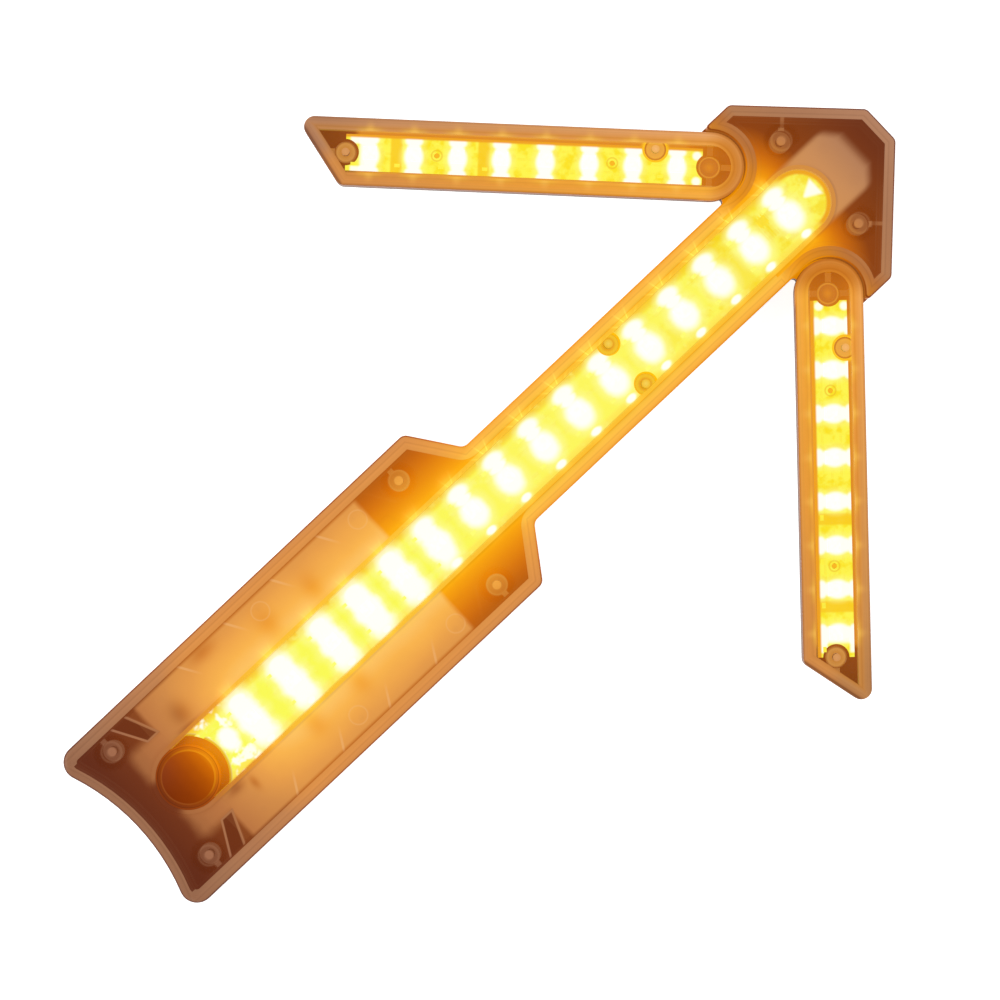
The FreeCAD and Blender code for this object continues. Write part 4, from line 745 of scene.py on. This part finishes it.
def button_cap():
    """Smoked amber push cap, painted lighter towards the LEDs by their light, with a thin bright line of
    painted light round its edge.
    """
    p = Paint("button_cap", roughness=0.45, Specular_IOR_Level=0.04)
    reach, facing = button_place(p)
    towards = (p.x - BUTTON_X) / 10.0
    colour = p.ramp(towards, [(-1.0, shade(124, 45, 0)), (-0.4, shade(141, 56, 1)), (0.0, shade(158, 67, 0)),
                              (0.4, shade(178, 82, 0)), (0.8, shade(206, 104, 0)), (1.0, shade(226, 130, 5))])
    edge = p.ramp(facing, [(-1.0, shade(146, 72, 26)), (0.0, shade(166, 80, 8)), (1.0, shade(242, 150, 18))])
    colour = p.mix(p.rise(reach, 9.45, 9.75), colour, edge)
    grain = p.noise(0.35, detail=3.0) * 0.10 + 0.95
    p.bump(p.noise(2.0, detail=2.0), 0.03, strength=0.2)
    return shown(p, p.tint(colour, grain), share=0.22)


def button_bezel():
    """Ring round the button: dark with fine lines, and bright where it faces the LEDs."""
    p = Paint("button_bezel", roughness=0.25, Specular_IOR_Level=0.1)
    reach, facing = button_place(p)
    colour = p.ramp(facing, [(-1.0, shade(121, 49, 8)), (0.0, shade(155, 69, 4)), (0.5, shade(188, 93, 4)),
                             (0.85, shade(220, 120, 3)), (1.0, shade(229, 135, 4))])
    line = p.within(reach, 11.45, 11.75, 0.12) * 0.25 - p.within(reach, 11.05, 11.35, 0.1) * 0.18
    grain = p.noise(0.5, detail=2.0) * 0.08 + 0.96
    return shown(p, p.tint(colour, (line + 1.0) * grain), share=0.22)


# ---------------------------------------------------------------- materials of the arms

def arm_frame_colour(p, reach, along, stops):
    """Colour by distance from an arm's middle line, mixed from its look at the pivot, middle and tip."""
    near, middle, far = (p.ramp(reach, [(at, row[index]) for at, *row in stops]) for index in range(3))
    return p.mix(p.rise(along, 55.0, 145.0), p.mix(p.rise(along, -10.0, 70.0), near, middle), far)


# The frame's outer and inner edge: millimetres from the middle line, and the colour of its painted light at
# pivot, middle, tip.
OUTER = [(7.0, shade(244, 172, 70), shade(234, 158, 62), shade(214, 148, 84)),
         (7.9, shade(240, 168, 78), shade(222, 150, 78), shade(208, 146, 86)),
         (8.8, shade(226, 148, 58), shade(218, 142, 62), shade(202, 136, 72)),
         (10.2, shade(232, 162, 88), shade(214, 150, 90), shade(198, 142, 96)),
         (11.4, shade(238, 170, 106), shade(220, 156, 96), shade(192, 136, 94)),
         (12.2, shade(214, 142, 78), shade(198, 134, 80), shade(174, 118, 78)),
         (12.5, shade(168, 100, 50), shade(158, 98, 54), shade(140, 90, 58))]
INNER = [(7.0, shade(254, 196, 52), shade(246, 178, 50), shade(228, 150, 58)),
         (8.0, shade(250, 178, 58), shade(238, 162, 54), shade(214, 140, 66)),
         (9.3, shade(246, 170, 52), shade(234, 156, 52), shade(208, 136, 66)),
         (10.4, shade(248, 176, 66), shade(236, 160, 58), shade(214, 142, 72)),
         (11.6, shade(246, 174, 68), shade(232, 156, 60), shade(208, 138, 74)),
         (12.2, shade(226, 146, 46), shade(210, 134, 46), shade(186, 118, 60)),
         (12.5, shade(178, 104, 30), shade(166, 98, 34), shade(150, 92, 48))]
# Darker, more orange painted light on each frame's hub, behind its pivot.
HUB_TINT = {"left": (0.84, 0.70, 0.40), "right": (0.72, 0.56, 0.30)}


def frosted_arm(side):
    """An arm's frame in painted light: a dark outer line, a light band and an orange inner edge beside the
    LEDs, painted glow at each LED and painted shade in its groove lines and on its walls.
    """
    p = Paint(f"{side}_arm_frame", roughness=0.42, Specular_IOR_Level=0.12)
    along, across = arm_place(p, side)
    hub = p.length(along, across)
    slant = (along - across * ARM_TIP_SLANT - ARM_TIP_BOSS[0]) * ARM_TIP_NORMAL + 0.35
    reach = p.most(p.most(abs(across), slant + 4.4), hub * p.rise(along, 1.0, -1.0))
    reach = p.least(reach, p.rise(along, 0.0, 10.0) + 11.9)
    outer = arm_frame_colour(p, reach, along, OUTER)
    # Dimmer painted light towards the tip.
    outer = p.mix(p.rise(along, 118.0, 142.0), outer, p.tint(outer, (0.86, 0.84, 0.9)))
    if side == "right":
        outer = p.tint(outer, (1.10, 1.05, 0.72))
    inner = arm_frame_colour(p, reach, along, INNER)
    rim = p.mix(p.rise(across, 3.0, -5.0) * p.rise(along, -12.0, 4.0), outer, inner)
    rim = p.mix(p.rise(along, 3.0, -7.0), rim, p.tint(rim, HUB_TINT[side]))
    led = abs(arm_led_offset(p, along))
    # Painted glow of each LED on the frame beside it.
    near = p.rise(led, 7.0, 0.0) * p.rise(abs(across), 10.0, 7.3) * p.within(along, 8.0, 131.0, 2.0)
    rim = p.mix(near * 0.5, rim, shade(255, 206, 64))
    # Painted bright streaks of each LED's light across the frame.
    led_glow_streak = p.rise(led, 2.4, 0.0) * p.rise(abs(across), 12.6, 7.0)
    rim = p.mix(led_glow_streak * p.within(along, 8.0, 129.0, 2.0) * 0.45, rim, shade(255, 196, 92))
    # Painted shade in the frame's two groove lines.
    groove_shade = p.within(reach, 8.75, 9.1, 0.12) * 0.07 + p.within(reach, 10.75, 11.05, 0.12) * 0.06
    rim = p.tint(rim, p.noise(0.5, detail=2.0) * 0.06 + 0.98 - groove_shade)
    wall = p.tint(rim, WALL_SHADE)
    colour = p.mix(p.rise(p.z, *ARM_WALL_TOP_Z), wall, rim)
    p.bump(p.noise(1.6, detail=2.0), 0.05, strength=0.25)
    return shown(p, colour, alpha=0.96)


def arm_lens(side):
    """An arm's clear lens: hub disc, screw bosses and key ribs seen through it, painted in amber light."""
    p = Paint(f"{side}_arm_lens", roughness=0.06)
    along, across = arm_place(p, side)
    under = p.level * p.rise(p.z, *ARM_LENS_UNDER_Z)
    hub = p.length(along, across)
    hub_disc = p.ramp(hub, [(0.0, shade(226, 138, 8)), (1.4, shade(216, 126, 6)), (3.2, shade(202, 112, 4)),
                            (3.7, shade(232, 152, 34)), (4.2, shade(186, 98, 2))])
    boss = p.length(along - ARM_SIDE_BOSS[0], across - ARM_SIDE_BOSS[1])
    tip = p.length(along - ARM_TIP_BOSS[0], across - ARM_TIP_BOSS[1])
    rings = [(0.0, shade(248, 184, 112)), (1.4, shade(242, 176, 88)), (1.6, shade(232, 160, 60)),
             (3.2, shade(238, 168, 54)), (3.6, shade(206, 120, 14)), (4.1, shade(190, 100, 4))]
    tans = [(0.0, shade(216, 152, 92)), (1.4, shade(212, 144, 80)), (1.6, shade(202, 130, 46)),
            (3.2, shade(212, 146, 64)), (3.7, shade(176, 104, 30)), (4.1, shade(150, 80, 20))]
    disc = p.mix(p.rise(boss, 5.0, 4.4), p.mix(p.rise(tip, 8.0, 7.0), hub_disc, p.ramp(tip, tans)),
                 p.ramp(boss, rings))
    key = p.level * p.within(p.z, *ARM_KEY_Z, 0.1)
    disc = p.mix(key, disc, p.mix(p.rise(along, 60.0, 120.0), shade(206, 118, 10), shade(184, 116, 48)))
    colour = p.mix(under, shade(250, 200, 90), disc)
    ledge = p.level * p.rise(abs(across), 7.0, 7.5) * p.rise(p.z, *ARM_LENS_TOP_Z)
    opacity = p.most(under * 0.95, ledge * 0.25 + 0.03)
    return shown(p, colour, alpha=opacity, share=0.12)


def arm_board(side):
    """An arm's lit board in painted light: white glare bars at the LEDs, yellow between them, two darker
    bands, two pins and painted orange shade at its edges.
    """
    p = Paint(f"{side}_arm_board", roughness=0.35, Specular_IOR_Level=0.2)
    along, across = arm_place(p, side)
    dx = arm_led_offset(p, along)
    y = across - LIT_MIDDLE_ACROSS[side]
    heart = p.length(dx / 3.5, y / 4.6)
    ends = p.length(dx / 3.25, (abs(y) - 5.9) / 2.3)
    waist = p.length(dx / 2.85, y / 7.5)
    nearness = p.least(p.least(heart, waist), ends)
    grain = p.noise(0.28, detail=4.0)
    yellow = p.mix(p.rise(grain, 0.34, 0.56), shade(251, 228, 24), shade(254, 248, 76))
    edge = p.rise(abs(y), 6.0, 6.9)
    dark = reduce(Num.__add__, [p.within(along, first, last, 0.5) for first, last in ARM_BANDS])
    lines = p.within(p.math("PINGPONG", across, 1.7), 0.1, 0.4, 0.15) * p.rise(grain, 0.5, 0.6) * 0.3
    yellow = p.mix(p.least(dark * 0.9 + lines, 0.9), yellow, shade(250, 204, 16))
    for pin in ARM_PINS:
        spot = p.length(along - pin, across)
        yellow = p.mix(p.within(spot, 1.7, 2.2, 0.25) * 0.6, yellow, shade(236, 178, 20))
    lit = p.mix(p.rise(nearness, 1.8, 1.0) * 0.55, yellow, shade(255, 255, 140))
    # Painted white glare at corners by the hub and round the last LED.
    corners = p.rise(p.length(along - 4.7, abs(y) - 4.7), 2.2, 0.9)
    last = p.within(along, 125.0, 128.6, 0.9) + p.within(along, 126.0, 132.2, 0.6) * p.rise(abs(y), 3.6, 4.8)
    hot = p.most(p.rise(nearness, 1.22, 0.74), p.most(corners, last) * 0.9)
    lit = p.mix(hot, lit, WHITE_GLARE)
    # Painted orange shade along the board's edges.
    lit = p.mix(edge, lit, shade(240, 160, 20))
    return shown(p, lit, share=0.05)


def arm_floor(side):
    """An arm's rear cover: dark plastic outside; inside, in painted light, orange by the pivot and dark brown
    at the tip.
    """
    p = Paint(f"{side}_arm_cover", roughness=0.5, Specular_IOR_Level=0.2)
    along, across = arm_place(p, side)
    inner = p.ramp(along, [(-8.0, shade(180, 90, 0)), (10.0, shade(216, 126, 4)),
                           (70.0, shade(214, 128, 10)), (125.0, shade(176, 86, 4)),
                           (134.0, shade(138, 54, 0)), (150.0, shade(120, 44, 0))])
    boss = p.length(along - ARM_SIDE_BOSS[0], across - ARM_SIDE_BOSS[1])
    inner = p.mix(p.rise(boss, 7.0, 4.4), inner, shade(246, 194, 26))
    beside = p.rise(abs(across), 6.4, 6.8) * p.within(along, 8.0, 130.0, 1.5) * p.rise(boss, 4.4, 6.0)
    inner = p.mix(beside * 0.9, inner, shade(216, 138, 36))
    post = p.rise(p.z, *ARM_POST_Z) * p.rise(abs(across), 2.0, 1.5)
    inner = p.mix(post, inner, shade(240, 176, 14))
    reach = p.most(abs(across), p.length(along, across) * p.rise(along, 1.0, -1.0))
    hollow = p.rise(reach, 11.4, 11.0) * p.rise(p.z, *ARM_FLOOR_Z)
    return dark_outside(p, inner, p.most(hollow, p.rise(p.z, *ARM_COVER_RIM_Z)))


STEEL = plain("steel", (0.62, 0.61, 0.60), roughness=0.28, metallic=1.0)
NICKEL = plain("nickel_strip", (0.72, 0.70, 0.66), roughness=0.3, metallic=1.0)
RUBBER = plain("rubber", (0.03, 0.028, 0.026), roughness=0.7)
NYLON = plain("nylon", (0.75, 0.72, 0.66), roughness=0.45)
DARK = plain("dark_plastic", (0.045, 0.036, 0.030), roughness=0.45)
REAR = plain("rear_fittings", shade(86, 58, 42), roughness=0.5)
WHITE_HOT = glow("led_white", (1.2, 1.15, 1.0), share=0.02)
CHIP = glow("controller_chip", shade(250, 222, 36), share=0.05)
RESISTOR = glow("resistor", shade(255, 254, 110), share=0.02)
ARM_RESISTOR = glow("arm_resistor", shade(253, 240, 56), share=0.03)
CONNECTOR = glow("connector", shade(214, 150, 70), share=0.3)
# Seals and leads in the painted light of the strip.
SEAL = strip_lit("lit_seal", RIM)
LEAD = strip_lit("lit_lead", DEEP)
NOSE_SCREW = glow("nose_screw", shade(188, 132, 94), share=0.25)
# The pigtails in painted amber light by the pivots.
PIGTAIL = glow("lit_pigtail", shade(196, 112, 8), share=0.2)
SWITCH = switch_area("switch_parts")
# The cells in the tray's painted light, a little darker as painted shade under the tray.
CELL = tray_light("battery_cell", level=0.92)
BOARD = main_board()

LOOKS = {
    "front_shell": frosted_body(), "window_lens": window(), "main_board": BOARD,
    "rear_shell": rear_plastic(), "battery_tray": tray_light("battery_tray"), "main_leds": WHITE_HOT,
    "main_resistors": RESISTOR, "controller_chip": CHIP, "board_connectors": CONNECTOR,
    "board_screws": NOSE_SCREW, "shell_screws": STEEL, "tray_screws": STEEL, "door_screws": STEEL,
    "shell_gasket": SEAL, "bezel_gasket": SWITCH, "door_gasket": RUBBER,
    "switch_board": SWITCH, "switch_body": DARK, "switch_jumper": BOARD, "switch_plunger": NYLON,
    "button_bezel": button_bezel(), "button_cap": button_cap(), "battery_cells": CELL,
    "contact_springs": STEEL, "contact_plates": NICKEL, "battery_leads": LEAD, "battery_door": REAR,
}
for side in SIDES:
    LOOKS.update({
        f"{side}_arm_frame": frosted_arm(side), f"{side}_arm_lens": arm_lens(side),
        f"{side}_arm_board": arm_board(side), f"{side}_arm_rear_cover": arm_floor(side),
        f"{side}_arm_leds": WHITE_HOT, f"{side}_arm_resistors": ARM_RESISTOR, f"{side}_arm_screws": STEEL,
        f"{side}_arm_gasket": SEAL, f"{side}_arm_pigtail": PIGTAIL, f"{side}_arm_lead": LEAD,
        f"{side}_friction_washer": NYLON, f"{side}_retaining_ring": STEEL, f"{side}_pivot_cap": REAR,
    })
for node, material in LOOKS.items():
    slots = NODES[node].data.materials
    slots.clear()
    slots.append(material)


# ---------------------------------------------------------------- studio

def make_camera():
    """Straight above the front, as in the photograph, far enough away for its flat perspective."""
    camera = bpy.data.objects.new("camera", bpy.data.cameras.new("camera"))
    bpy.context.scene.collection.objects.link(camera)
    camera.data.lens = LENS_MM
    camera.data.sensor_width = SENSOR_MM
    camera.data.clip_end = CLIP_END
    distance = FRAME_WIDTH * LENS_MM / SENSOR_MM
    camera.location = Vector(CAMERA_AIM) + Vector((0.0, 0.0, distance))
    camera.rotation_euler = (0.0, 0.0, math.radians(CAMERA_TURN))
    bpy.context.scene.camera = camera


def make_floor():
    """A plain pale floor just under the object."""
    mesh = bpy.data.meshes.new("floor")
    low = cad_box[0].z - FLOOR_GAP
    corners = ((-1, -1), (1, -1), (1, 1), (-1, 1))
    mesh.from_pydata([(FLOOR_HALF * x, FLOOR_HALF * y, low) for x, y in corners], [], [(0, 1, 2, 3)])
    floor = bpy.data.objects.new("floor", mesh)
    bpy.context.scene.collection.objects.link(floor)
    p = Paint("floor", roughness=0.9)
    value = p.noise(0.002) * 0.04 + 0.82
    mesh.materials.append(p.show(p.tint(grey(1.0), value), glow=grey(FLOOR_GLOW)))


def make_lights():
    """Two large soft lamps and an even white surround."""
    for name, place, size, power in LIGHTS:
        light = bpy.data.objects.new(name, bpy.data.lights.new(name, "AREA"))
        light.data.size = size
        light.data.energy = power
        light.location = place
        aim = Vector(LIGHT_AIM) - light.location
        light.rotation_euler = aim.to_track_quat("-Z", "Y").to_euler()
        bpy.context.scene.collection.objects.link(light)
    world = bpy.data.worlds.new("studio")
    world.use_nodes = True
    background = world.node_tree.nodes["Background"]
    background.inputs["Color"].default_value = (*grey(1.0), 1.0)
    background.inputs["Strength"].default_value = WORLD_STRENGTH
    bpy.context.scene.world = world
    bpy.context.scene.view_settings.view_transform = "Standard"


make_camera()
make_floor()
make_lights()
